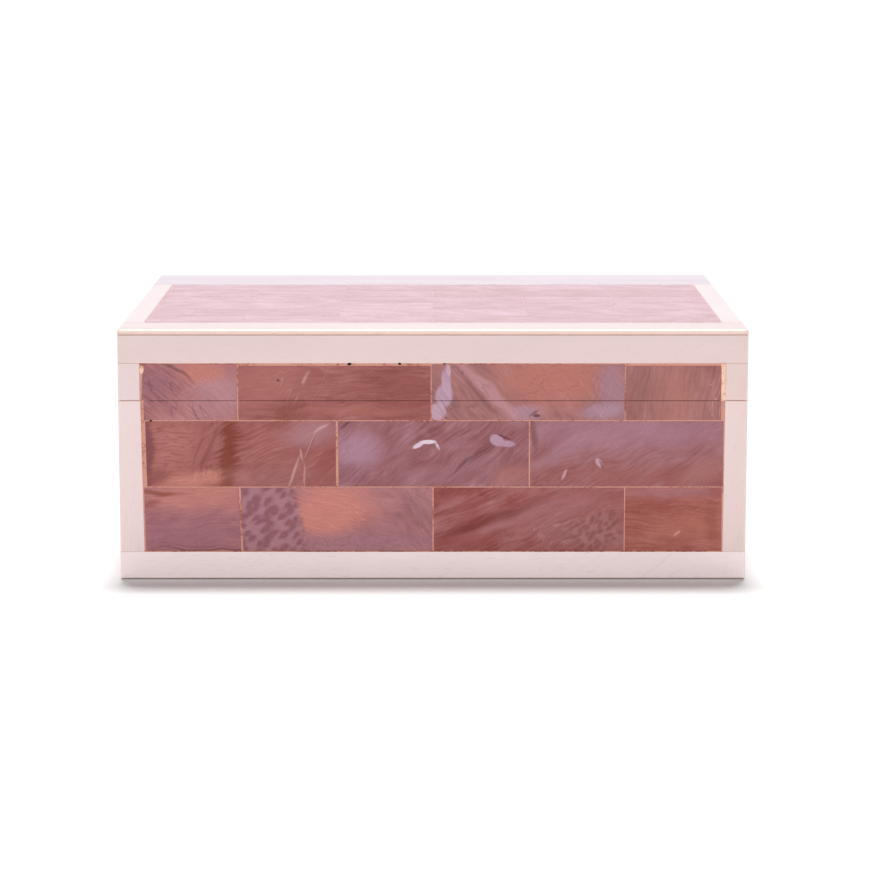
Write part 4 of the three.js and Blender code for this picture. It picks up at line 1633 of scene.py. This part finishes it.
@dataclass
class FrontInlay:
    """The front's fifteen tiles, six strips and their resin."""

    lines: BoxLines
    finishes: Finishes
    thickness: float = FACING
    gap: float = 0.2  # half a joint
    low: float = 11.6
    lower_line: float = 38.1
    upper_line: float = 65.3
    high: float = 88.6
    middle_upper: float = 76.95

    def tiles(self) -> list[FrontTile]:
        """Lays out the tiles, left to right and bottom to top.

        Returns:
            The tiles.
        """
        gap = self.gap
        found: list[FrontTile] = []
        courses = [
            ("lower", self.low, self.lower_line, [(-117.0, -78.5), (-78.1, 0.0), (0.2, 77.7), (77.7, 117.0)],
             [(0.5, 0.9), (0.9, 0.0), (0.0, 0.0), (0.0, 0.2)]),
            ("middle", self.lower_line, self.upper_line, [(-116.2, -39.0), (-38.6, 39.0), (39.1, 117.4)],
             [(0.5, 0.0), (0.2, 0.0), (0.0, 0.0)]),
        ]
        for course, line, next_line, places, slants in courses:
            low, high = line + gap, next_line - gap
            for number, ((left, right), (slant_l, slant_r)) in enumerate(zip(places, slants), 1):
                left, right = left + (gap if number > 1 else 0), right - (gap if number < len(places) else 0)
                corners = ((left + slant_l, low), (right + slant_r, low), (right, high), (left, high))
                centre = ((left + right) / 2, (low + high) / 2)
                node, figure = f"front_{course}_tile_{number}", f"{course}_{'abcd'[number - 1]}"
                found.append(FrontTile(f"shell_{node}", figure, corners, centre, Body.BOX, node))
        upper = [(-117.6, -78.7), (-78.7, -0.7), (-0.7, 77.6), (77.6, 116.3)]
        dropped = [0.0, 0.75, 0.15, 0.7]  # how far resin runs down between the rail and the tile
        for number, ((left, right), drop) in enumerate(zip(upper, dropped), 1):
            centre = ((left + right) / 2, self.middle_upper)
            left, right = left + (gap if number > 1 else 0), right - (gap if number < 4 else 0)
            for body, low, high in (
                (Body.BOX, self.upper_line + gap, self.lines.body_rim),
                (Body.LID, self.lines.lid_rim, self.high - gap - drop),
            ):
                inset = 0.9 if body is Body.BOX and number == 1 else 0.0
                lean = 0.8 if body is Body.LID and number == 1 else 0.0
                corners = ((left + inset, low), (right, low), (right, high), (left + inset + lean, high))
                name = f"shell_{body.value}_front_upper_tile_{number}"
                node = f"{body.value}_front_upper_tiles"
                found.append(FrontTile(name, f"upper_{'abcd'[number - 1]}", corners, centre, body, node))
        return found

    def strips(self) -> list[tuple[str, str, Slab]]:
        """Lays out the six strips.

        Returns:
            Each strip's CAD node, bone colour and slab.
        """
        face, rim, edge, seam, tight = self.lines.face("front"), 0.9, 0.12, 0.28, 0.05
        left, right, foot = self.lines.left, self.lines.right, self.lines.foot
        body_rim, lid_rim, top = self.lines.body_rim, self.lines.lid_rim, self.lines.skin_top
        low, high = self.low, self.high
        sill = low - 0.12
        plan = [
            # painted light and shade: the strips are one bone, but the foot rail is painted lighter against
            # the shade from the floor's shadow in front of it, the lid rail darker where more light falls,
            # and the stiles a little darker
            ("body_front_rail", "#f8e0e0", rectangle(left, right, foot, low - 0.2),
             (rim, rim, 0.6, tight), False),
            ("body_front_left_stile", "#e3cdcd",
             ((left, sill), (-117.1, sill), (-118.0, body_rim), (left, body_rim)),
             (rim, edge, tight, seam), True),
            ("body_front_right_stile", "#dfc9c7",
             ((117.6, sill), (right, sill), (right, body_rim), (117.9, body_rim)),
             (edge, rim, tight, seam), True),
            ("lid_front_left_stile", "#dec8c8", rectangle(left, -118.2, lid_rim, high + 0.02),
             (rim, edge, seam, tight), True),
            ("lid_front_right_stile", "#dac3c0",
             ((117.9, lid_rim), (right, lid_rim), (right, high + 0.02), (118.1, high + 0.02)),
             (edge, rim, seam, tight), True),
            ("lid_front_rail", "#d9c3c1", rectangle(left, right, high + 0.1, top),
             (rim, rim, tight, edge), False),
        ]
        return [
            (node, colour, Slab(face, corners, self.thickness, rounding, number=k + 1.0, upright=upright))
            for k, (node, colour, corners, rounding, upright) in enumerate(plan)
        ]

    def resin_bars(self, body: Body) -> list[Bar]:
        """The resin of one half of the front, keyed under the tiles' edges.

        Args:
            body: The half of the box.

        Returns:
            The rectangles that the resin fills.
        """
        left, right = self.lines.left + 0.9, self.lines.right - 0.9
        key = 0.6
        if body is Body.LID:
            bars = [
                Bar(left, right, self.high - 1.6, self.high + 0.3),
                Bar(-118.6, -116.0, self.lines.lid_rim, self.high),
                Bar(115.6, 118.6, self.lines.lid_rim, self.high),
            ]
            return bars + [
                Bar(place - key, place + key, self.lines.lid_rim, self.high) for place in (-78.7, -0.7, 77.6)
            ]
        bars = [
            Bar(left, right, self.low - 0.4, self.low + key),
            Bar(-118.4, -114.8, self.low, self.lines.body_rim),
            Bar(115.6, 118.3, self.low, self.lines.body_rim),
            Bar(-118.0, 118.4, self.lower_line - key, self.lower_line + key),
            Bar(-118.0, 118.4, self.upper_line - key, self.upper_line + key),
        ]
        joints = [
            ((-78.0, 0.1, 77.7), self.low, self.lower_line),
            ((-38.8, 39.0), self.lower_line, self.upper_line),
            ((-78.7, -0.7, 77.6), self.upper_line, self.lines.body_rim),
        ]
        for places, low, high in joints:
            bars += [
                Bar(place - key, place + key + (0.4 if place == -78.0 else 0), low, high) for place in places
            ]
        return bars

    def build(self) -> None:
        """Builds and dresses the front."""
        face = self.lines.face("front")
        materials = {figure.name: figure.material() for figure in FIGURES}
        for tile in self.tiles():
            sawn = 0.2 if "upper" in tile.name else 0.12
            rounding = (0.12, 0.12, 0.12, sawn) if tile.body is Body.BOX else (0.12, 0.12, sawn, 0.12)
            slab = Slab(face, tile.corners, self.thickness, rounding, centre=tile.centre, step=5.0)
            piece = slab.build(tile.name, materials[tile.figure])
            hand_over(piece, tile.body, Slot.SHELL, tile.node)
        for node, colour, slab in self.strips():
            piece = slab.build(f"bone_{node}", Bone(node, colour).material())
            hand_over(piece, Body.LID if node.startswith("lid") else Body.BOX, Slot.BONE, node)
        for body in Body:
            bars = self.resin_bars(body)
            piece = build_lattice(f"resin_{body.value}_front", face, bars, 0.07, 2.1, self.finishes.resin)
            hand_over(piece, body, Slot.SHELL)
        self.stains(face)

    def stains(self, face: Face) -> None:
        """Builds the lines of stained glue and the fills beside the rails.

        Args:
            face: The front.
        """
        dark = Resin("dark_fill", "#3a2022", "#1c0f10", 0.4, 0.5).material()
        fills = [
            Fill("dark_fill_1", -33.6, 88.35, 0.95, 0.6, Body.LID),
            Fill("dark_fill_2", -13.3, 88.45, 0.7, 0.5, Body.LID),
            Fill("dark_fill_3", -113.9, 65.3, 0.5, 0.45, Body.BOX),
            Fill("dark_fill_4", 4.6, 88.5, 0.45, 0.3, Body.LID),
        ]
        for fill in fills:
            hand_over(fill.build(face, dark), fill.body, Slot.SHELL)
        patch = Fill("resin_patch_upper_left", -117.3, 86.4, 0.95, 2.1, Body.LID)
        hand_over(patch.build(face, self.finishes.glue), Body.LID, Slot.SHELL)
        low_line = [Bar(-117.4, 118.0, self.low - 0.22, self.low + 0.26)]
        brown = Resin("brown_glue", "#bd8266", "#6b3420", 0.36, 1.4).material()
        piece = build_lattice("glue_body_front_line", face, low_line, 0.05, 1.9, brown)
        hand_over(piece, Body.BOX, Slot.SHELL)
        line = self.lines.skin_top + 0.45
        top_line = [Bar(self.lines.left + 0.3, self.lines.right - 0.3, line - 0.22, line + 0.22)]
        piece = build_lattice("glue_lid_front_line", face, top_line, 0.03, 1.9, self.finishes.glue)
        hand_over(piece, Body.LID, Slot.SHELL)
        band = [Bar(116.2, 117.95, self.lines.lid_rim, self.high - 0.2)]
        piece = build_lattice("glue_lid_right_band", face, band, 0.05, 1.9, self.finishes.glue)
        hand_over(piece, Body.LID, Slot.SHELL)


@dataclass
class SideInlay:
    """The tiles, strips and resin of the back, the left or the right face."""

    lines: BoxLines
    finishes: Finishes
    name: str
    seed: int
    stile: float = 9.0
    low: float = 11.6
    lower_line: float = 38.1
    upper_line: float = 65.3
    high: float = 88.6
    gap: float = 0.2

    def half(self) -> float:
        """Half the width of the face's own skins."""
        return self.lines.right if self.name == "back" else self.lines.half_depth - 2.4

    def fields(self) -> dict[Body, TileField]:
        """The two fields of tiles that the saw leaves.

        Returns:
            Each half's field.
        """
        end = self.lines.right - self.stile - self.gap if self.name == "back" else 90.0
        shift = 0.0 if self.name == "back" else -(end + self.gap)
        lines, gap = self.lines, self.gap
        joints = [shift, shift + 39, shift]
        body = (
            Course(self.low + gap, self.lower_line - gap, joints[0]),
            Course(self.lower_line + gap, self.upper_line - gap, joints[1]),
            Course(self.upper_line + gap, lines.body_rim, joints[2]),
        )
        lid = (Course(lines.lid_rim, self.high - gap, joints[2]),)
        face = lines.face(self.name)
        return {
            Body.BOX: TileField(face, -end, end, body, self.seed),
            Body.LID: TileField(face, -end, end, lid, self.seed + 14),
        }

    def strips(self) -> list[tuple[str, Body, Slab]]:
        """Lays out the rails and stiles of the face.

        Returns:
            Each one's name, body and slab.
        """
        lines, gap = self.lines, self.gap
        face, half = lines.face(self.name), self.half()
        inner = (lines.right - self.stile) if self.name == "back" else 90.2
        outer = 0.9 if self.name == "back" else 0.12
        edge = 0.12
        found = []
        for body, rail_low, rail_high, stile_low, stile_high in (
            (Body.BOX, lines.foot, self.low - gap, self.low + gap, lines.body_rim),
            (Body.LID, self.high + gap, lines.skin_top, lines.lid_rim, self.high - gap),
        ):
            foot = 0.6 if body is Body.BOX else edge
            plan = [
                ("rail", -half, half, rail_low, rail_high, (outer, outer, foot, edge)),
                ("left_stile", -half, -inner, stile_low, stile_high, (outer, edge, edge, edge)),
                ("right_stile", inner, half, stile_low, stile_high, (edge, outer, edge, edge)),
            ]
            for name, left, right, low, high, rounding in plan:
                corners = rectangle(left, right, low, high)
                number = self.seed + len(found) * 1.3
                slab = Slab(face, corners, FACING, rounding, number=number, upright="stile" in name, step=5.0)
                found.append((f"bone_{body.value}_{self.name}_{name}", body, slab))
        return found

    def build(self) -> None:
        """Builds and dresses the face."""
        for name, body, slab in self.strips():
            piece = slab.build(name, self.finishes.bone)
            hand_over(piece, body, Slot.BONE, f"{body.value}_{self.name}_border")
        for body, field in self.fields().items():
            piece = field.build(
                f"shell_{body.value}_{self.name}_tiles", self.finishes.courses, self.finishes.field
            )
            if self.name == "back":
                cut_hinge_room(piece)
            hand_over(piece, body, Slot.SHELL, f"{body.value}_{self.name}_tile_field")
            self._resin(body, field)

    def _resin(self, body: Body, field: TileField) -> None:
        """Builds the resin of one of the face's fields.

        Args:
            body: The half of the box.
            field: Its tiles.
        """
        bars = field.bars()
        line = self.low if body is Body.BOX else self.high
        edge = self.half() - (0.9 if self.name == "back" else 0.1)
        bars.append(Bar(-edge, edge, line - 0.35, line + 0.35))
        piece = build_lattice(
            f"resin_{body.value}_{self.name}", field.face, bars, 0.08, 2.1, self.finishes.resin
        )
        if self.name == "back":
            cut_hinge_room(piece)
        hand_over(piece, body, Slot.SHELL)


def cut_hinge_room(piece: Object) -> None:
    """Cuts the two hinges' room out of a piece of the back's facing, as the CAD's notches have it.

    Args:
        piece: The piece.
    """
    room = 0.3 * MM
    for side in ("left", "right"):
        low, high = (Vector(c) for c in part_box(f"{side}_hinge_body_leaf"))
        _, lid_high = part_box(f"{side}_hinge_lid_leaf")
        low = Vector((low.x - room, low.y - room, low.z - room))
        high = Vector((high.x + room, high.y + room, lid_high.z + room))
        sides = ((low.x, high.x), (low.y, high.y), (low.z, high.z))
        corners = np.array(list(product(*sides)))
        faces = [(0, 1, 3, 2), (4, 6, 7, 5), (0, 4, 5, 1), (2, 3, 7, 6), (0, 2, 6, 4), (1, 5, 7, 3)]
        cutter = mesh_object(f"{side}_hinge_room", corners, faces, piece.data.materials[0])
        cut = piece.modifiers.new("hinge_room", "BOOLEAN")
        cut.operation, cut.object, cut.solver = "DIFFERENCE", cutter, "EXACT"
        mesh = plain_mesh(piece)
        piece.modifiers.remove(cut)
        piece.data = mesh
        bpy.data.objects.remove(cutter)


@dataclass
class LidTop:
    """The lid's top: four bone strips round six courses of tiles."""

    lines: BoxLines
    finishes: Finishes
    stile: float = 9.0
    front_strip: float = 22.0
    back_strip: float = 40.4
    gap: float = 0.2

    def courses(self) -> tuple[Course, ...]:
        """Lays out the six courses, front to back.

        Returns:
            The courses.
        """
        low = -self.lines.half_depth + self.front_strip
        high = self.lines.half_depth - self.back_strip
        step = (high - low) / 6
        return tuple(
            Course(low + k * step + self.gap, low + (k + 1) * step - self.gap, 39.0 * (k % 2))
            for k in range(6)
        )

    def strips(self) -> list[tuple[str, str, Slab]]:
        """Lays out the four strips.

        Returns:
            Each strip's CAD node, bone colour and slab.
        """
        face, half, deep = self.lines.face("top"), self.lines.right, self.lines.half_depth
        low, high, inner, gap = -deep + self.front_strip, deep - self.back_strip, half - self.stile, self.gap
        edge = 0.12
        front, back = low + gap, high - gap
        plan = [
            ("top_front_strip", "#dbc7c5", rectangle(-half, half, -deep, low - gap),
             (0.9, 0.9, 2.0, edge), False),
            # painted reflection: the back strip is the same bone as the others, given a lilac-grey that
            # stands for the different reflection there
            ("top_back_strip", "#cebec9", rectangle(-half, half, high + gap, deep),
             (0.9, 0.9, edge, 0.9), False),
            ("top_left_strip", "#deced0", rectangle(-half, -inner - gap, front, back),
             (0.9, edge, edge, edge), True),
            ("top_right_strip", "#deced0", rectangle(inner + gap, half, front, back),
             (edge, 0.9, edge, edge), True),
        ]
        return [
            (node, colour, Slab(face, corners, FACING, rounding, number=40.0 + k, upright=upright, step=5.0))
            for k, (node, colour, corners, rounding, upright) in enumerate(plan)
        ]

    def build(self) -> None:
        """Builds and dresses the lid's top."""
        for node, colour, slab in self.strips():
            # the top strips' arris colour is set lighter, painted light against the shade on the lid's front
            # roundover
            hand_over(
                slab.build(f"bone_{node}", Bone(node, colour, arris="#ecd0c1").material()), Body.LID,
                Slot.BONE, node,
            )
        end = self.lines.right - self.stile - self.gap
        field = TileField(self.lines.face("top"), -end, end, self.courses(), 71)
        piece = field.build("shell_top_tiles", self.finishes.courses, self.finishes.lid_field)
        hand_over(piece, Body.LID, Slot.SHELL, "top_tile_field")
        low, high = self.courses()[0].low, self.courses()[-1].high
        half = self.lines.right - 0.9
        bars = field.bars()
        bars += [Bar(-half, half, low - 0.45, low + 0.15), Bar(-half, half, high - 0.15, high + 0.45)]
        piece = build_lattice("resin_top", field.face, bars, 0.08, 2.1, self.finishes.lid_resin)
        hand_over(piece, Body.LID, Slot.SHELL)


def puff(piece: Object, pressure: float, cap_mm: float, low: float, high: float) -> None:
    """Blows a closed pad up like stuffed cloth, and keeps it in its place.

    Args:
        piece: The pad.
        pressure: The pressure inside.
        cap_mm: How far a point may move.
        low: The lowest height in mm that a point may have.
        high: The greatest.
    """
    scene = bpy.context.scene
    rest = np.array([v.co for v in piece.data.vertices])
    cloth = piece.modifiers.new("stuffing", "CLOTH")
    settings = cloth.settings
    settings.quality, settings.mass, settings.time_scale = 6, 0.2, 1.0
    settings.tension_stiffness = settings.compression_stiffness = 12.0
    settings.bending_stiffness = 0.5
    settings.use_pressure, settings.uniform_pressure_force = True, pressure
    settings.effector_weights.gravity = 0.0
    cloth.point_cache.frame_start, cloth.point_cache.frame_end = 1, 20
    for number in range(1, 21):
        scene.frame_set(number)
    blown = piece.evaluated_get(bpy.context.evaluated_depsgraph_get())
    moved = np.array([v.co for v in blown.data.vertices]) - rest
    scene.frame_set(1)
    piece.modifiers.remove(cloth)
    length = np.linalg.norm(moved, axis=1, keepdims=True)
    moved = moved * np.minimum(1.0, cap_mm * MM / np.maximum(length, 1e-9))
    moved[:, :2] *= 0.25  # glued down at its rim, so it swells upwards and hardly outwards
    place = rest + moved
    place[:, 2] = np.clip(place[:, 2], low * MM, high * MM)
    piece.data.vertices.foreach_set("co", place.ravel())
    piece.data.update()


@dataclass
class Linings:
    """The wine-red velvet inside the box and the lid, and the felt underneath."""

    lines: BoxLines

    def build(self) -> None:
        """Builds and dresses the linings."""
        velvet = Cloth("wine_velvet", "#3a0c17", "#7d2438", "#c4586e", 0.55, 0.9).material()
        felt = Cloth("base_felt", "#2a1a1c", "#4a3032", "#6a4a4c", 0.4, 0.3).material()
        low, high = self._box("body_wall_lining")
        wall = self.ring("velvet_body_wall", low, high, False, velvet)
        hand_over(wall, Body.BOX, Slot.VELVET, "body_wall_lining")
        low, high = self._box("body_floor_pad")
        pad = self.pad("velvet_body_floor", low, high, 1.6, False, velvet)
        hand_over(pad, Body.BOX, Slot.VELVET, "body_floor_pad")
        low, high = self._box("lid_lining")
        wall = self.ring("velvet_lid_wall", low, high, True, velvet)
        hand_over(wall, Body.LID, Slot.VELVET, "lid_lining")
        inset = 1.6
        low = (low[0] + inset, low[1] + inset, high[2] - 3.2)
        high = (high[0] - inset, high[1] - inset, high[2])
        pad = self.pad("velvet_lid_ceiling", low, high, 1.2, True, velvet)
        hand_over(pad, Body.LID, Slot.VELVET, "lid_lining")
        low, high = self._box("base_felt")
        under = Face((0, (low[1] + high[1]) / 2, low[2]), (-1, 0, 0), (0, 1, 0), (0, 0, -1))
        half_u, half_v = (high[0] - low[0]) / 2, (high[1] - low[1]) / 2
        corners = rectangle(-half_u, half_u, -half_v, half_v)
        slab = Slab(under, corners, high[2] - low[2], (0.6,) * 4, step=12.0, uneven=0.03, sunk=0.02)
        sheet = slab.build("felt_base", felt)
        hand_over(sheet, Body.BOX, Slot.FELT, "base_felt")

    @staticmethod
    def _walls(body: Body) -> list[str]:
        """The CAD nodes of the four walls that a lining is glued to."""
        return [f"{body.value}_{side}_wall" for side in ("front", "back", "left", "right")]

    @staticmethod
    def _box(node: str) -> tuple[tuple[float, ...], tuple[float, ...]]:
        """A CAD node's corners in mm."""
        low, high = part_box(node)
        return tuple(x / MM for x in low), tuple(x / MM for x in high)

    @staticmethod
    def ring(
        name: str, low: tuple[float, ...], high: tuple[float, ...], hanging: bool, material: Material
    ) -> Object:
        """Builds a velvet wall that goes round the inside, its free edge rolled over.

        Args:
            name: The piece's name.
            low: The lowest corner of its room, in mm.
            high: The highest corner.
            hanging: True in the lid, where the free edge is the lower one.
            material: Its finish.

        Returns:
            The new object.
        """
        thick, corner, steps, spaces = 1.2, 2.5, 5, 40
        half_x, half_y = (high[0] - low[0]) / 2, (high[1] - low[1]) / 2
        mid_x, mid_y = (high[0] + low[0]) / 2, (high[1] + low[1]) / 2
        path: list[tuple[float, float, float, float]] = []

        def bend(across: int, deep: int, turn: float) -> tuple[float, float]:
            """A point of a rounded corner."""
            x = across * (half_x - corner) + corner * math.cos(turn)
            return x, deep * (half_y - corner) + corner * math.sin(turn)

        signs = ((1, -1), (1, 1), (-1, 1), (-1, -1))
        for k, (across, deep) in enumerate(signs):
            for j in range(steps + 1):
                turn = math.radians(-90 + 90 * (k + j / steps))
                path.append((*bend(across, deep, turn), math.cos(turn), math.sin(turn)))
            x, y, out_x, out_y = path[-1]
            end_x, end_y = bend(*signs[(k + 1) % 4], math.radians(90 * k))
            for j in range(1, spaces):
                share = j / spaces
                path.append((x + (end_x - x) * share, y + (end_y - y) * share, out_x, out_y))
        tall = high[2] - low[2]
        rows = 8
        profile = [(0.0, 0.0)] + [(0.0, tall - 0.5)] + [(0.18, tall - 0.12), (0.6, tall), (1.02, tall - 0.12)]
        profile += [(thick, (tall - 0.5) * (1 - r / rows)) for r in range(rows + 1)]
        points, faces = [], []
        for x, y, out_x, out_y in path:
            for inset, up in profile:
                soft = 0.0
                if inset >= thick and 0 < up < tall - 1:
                    soft = 0.28 * (0.5 + noise.noise(Vector((x * 0.03, y * 0.03, up * 0.05))))
                z = high[2] - up if hanging else low[2] + up
                reach = inset + soft
                points.append(((mid_x + x - out_x * reach) * MM, (mid_y + y - out_y * reach) * MM, z * MM))
        count, ring = len(path), len(profile)
        for i in range(count):
            for j in range(ring):
                a, b = i * ring + j, i * ring + (j + 1) % ring
                c, d = ((i + 1) % count) * ring + (j + 1) % ring, ((i + 1) % count) * ring + j
                faces.append((a, b, c, d) if hanging else (a, d, c, b))
        return mesh_object(name, np.array(points), faces, material, sharp_angle=60)

    @staticmethod
    def pad(
        name: str, low: tuple[float, ...], high: tuple[float, ...], swell: float, hanging: bool,
        material: Material,
    ) -> Object:
        """Builds a padded panel: card and wadding under velvet, crowned, with its sides drawn in.

        Args:
            name: The piece's name.
            low: The lowest corner of its room, in mm.
            high: The highest corner.
            swell: How far it may swell, in mm.
            hanging: True in the lid, where it faces down.
            material: Its finish.

        Returns:
            The new object.
        """
        mid = ((low[0] + high[0]) / 2, (low[1] + high[1]) / 2)
        half = ((high[0] - low[0]) / 2, (high[1] - low[1]) / 2)
        if hanging:
            face = Face((mid[0], mid[1], low[2] + 0.4), (-1, 0, 0), (0, 1, 0), (0, 0, -1))
        else:
            face = Face((mid[0], mid[1], high[2] - swell), (1, 0, 0), (0, 1, 0), (0, 0, 1))
        corners = rectangle(-half[0], half[0], -half[1], half[1])
        thick = (high[2] - low[2]) - (0.4 if hanging else swell)
        piece = Slab(face, corners, thick, (1.4,) * 4, step=5.0, uneven=0.12).build(name, material)
        puff(piece, 3.0, swell, low[2] - (0.8 if hanging else 0), high[2] + (0 if hanging else 0.4))
        finish = piece.modifiers.new("rounded", "SUBSURF")
        finish.levels = finish.render_levels = 1
        return piece


@dataclass
class Fittings:
    """The bare wood of the carcass and the two hinges, which keep their CAD shapes."""

    def build(self) -> None:
        """Dresses the CAD nodes that show."""
        along, across = Hardwood("hardwood_along", 0).material(), Hardwood("hardwood_across", 90).material()
        brass = Metal("rolled_brass", "#d6b068", "#8f6a34", 0.34).material()
        steel = Metal("turned_steel", "#b9b6b2", "#77716c", 0.30).material()
        for name, node in frame["nodes"].items():
            if "hinge" in name:
                finish = steel if "screw" in name else brass
            elif name.endswith(("left_wall", "right_wall")):
                finish = across
            elif name.endswith(("wall", "panel")):
                finish = along
            else:
                continue
            node.data.materials.clear()
            node.data.materials.append(finish)
            LOG.info("%s keeps its shape and takes %s", name, finish.name)


@dataclass
class Studio:
    """The floor, the light and the camera."""

    camera_place: Triple = (0.3624, -1335.424, 257.053)
    camera_down: float = 9.1087
    camera_turn: float = -0.02315
    lens: float = 127.864
    cove: float = 1.06  # how bright the white cove looks
    fill: float = 0.22  # how much of it lights the scene

    def build(self) -> None:
        """Sets up the studio."""
        scene = bpy.context.scene
        scene.view_settings.view_transform = "Standard"
        data = bpy.data.cameras.new("camera")
        data.lens, data.sensor_width, data.sensor_fit = self.lens, 36.0, "HORIZONTAL"
        data.clip_start, data.clip_end = 0.05, 60.0
        camera = bpy.data.objects.new("camera", data)
        camera.location = [x * MM for x in self.camera_place]
        camera.rotation_euler = (math.radians(90 - self.camera_down), 0, math.radians(self.camera_turn))
        scene.collection.objects.link(camera)
        scene.camera = camera
        world = bpy.data.worlds.new("white_cove")
        scene.world = world
        world.use_nodes = True
        world.node_tree.nodes.clear()
        world.cycles.sampling_method = "NONE"
        rays = add_node(world.node_tree, "ShaderNodeLightPath").outputs
        soft = add_node(world.node_tree, MAP_RANGE, (rays["Is Diffuse Ray"], 0.0, 1.0, self.cove, self.fill))
        sky = add_node(world.node_tree, "ShaderNodeBackground", {"Color": (1, 1, 1, 1), "Strength": soft})
        add_node(world.node_tree, "ShaderNodeOutputWorld", {"Surface": sky})
        self._floor()
        # a broad overhead light from a little behind the box, and a soft lamp in front
        self._light("overhead", "SUN", (0, 0, 0), (-13, 0, 0), energy=2.85, angle=math.radians(13))
        self._light("front", "AREA", (0, -3.0, 0.35), (90, 0, 0), energy=42.0, shape="SQUARE", size=1.2)

    def _floor(self) -> None:
        """Lays a plain white floor, painted board with a faint roller texture."""
        material, tree, shader = new_material("white_floor", IOR=1.45, Roughness=0.7, Specular_IOR_Level=0.1)
        spot = object_place(tree)
        roller = add_node(tree, NOISE, {"Vector": spot, "Scale": 0.4, "Detail": 2.0})
        tint = add_node(tree, MAP_RANGE, (roller, 0.3, 0.7, 0.93, 0.95))
        white = add_node(tree, VECTOR_MATH, {0: (1.0, 1.0, 1.0), "Scale": tint}, operation="SCALE")
        tree.links.new(white.outputs[0], shader.inputs["Base Color"])
        size = 20.0
        points = np.array([[-size, -size, 0], [size, -size, 0], [size, size, 0], [-size, size, 0]])
        floor = mesh_object("floor", points, [(0, 1, 2, 3)], material)

    def _light(self, name: str, kind: str, place: Triple, turn: Triple, **settings: Any) -> None:
        """Hangs a light.

        Args:
            name: The light's name.
            kind: Its kind, SUN or AREA.
            place: Its place in metres.
            turn: Its turn in degrees.
            settings: The light's own properties, such as energy.
        """
        data = bpy.data.lights.new(name, kind)
        for key, value in settings.items():
            setattr(data, key, value)
        lamp = bpy.data.objects.new(name, data)
        lamp.location = place
        lamp.visible_glossy = kind == "SUN"  # a soft lamp only fills in, and leaves no glare on the lid
        lamp.rotation_euler = [math.radians(angle) for angle in turn]
        bpy.context.scene.collection.objects.link(lamp)


def main() -> None:
    """Builds the box round its frame, and reports each piece."""
    logging.basicConfig(level=logging.INFO, format="%(name)s: %(message)s")
    Studio().build()
    lines = BoxLines.from_frame()
    finishes = Finishes.made()
    FrontInlay(lines, finishes).build()
    for name, seed in (("left", 11), ("right", 23), ("back", 37)):
        SideInlay(lines, finishes, name, seed).build()
    LidTop(lines, finishes).build()
    Linings(lines).build()
    Fittings().build()


if __name__ == "__main__":
    main()
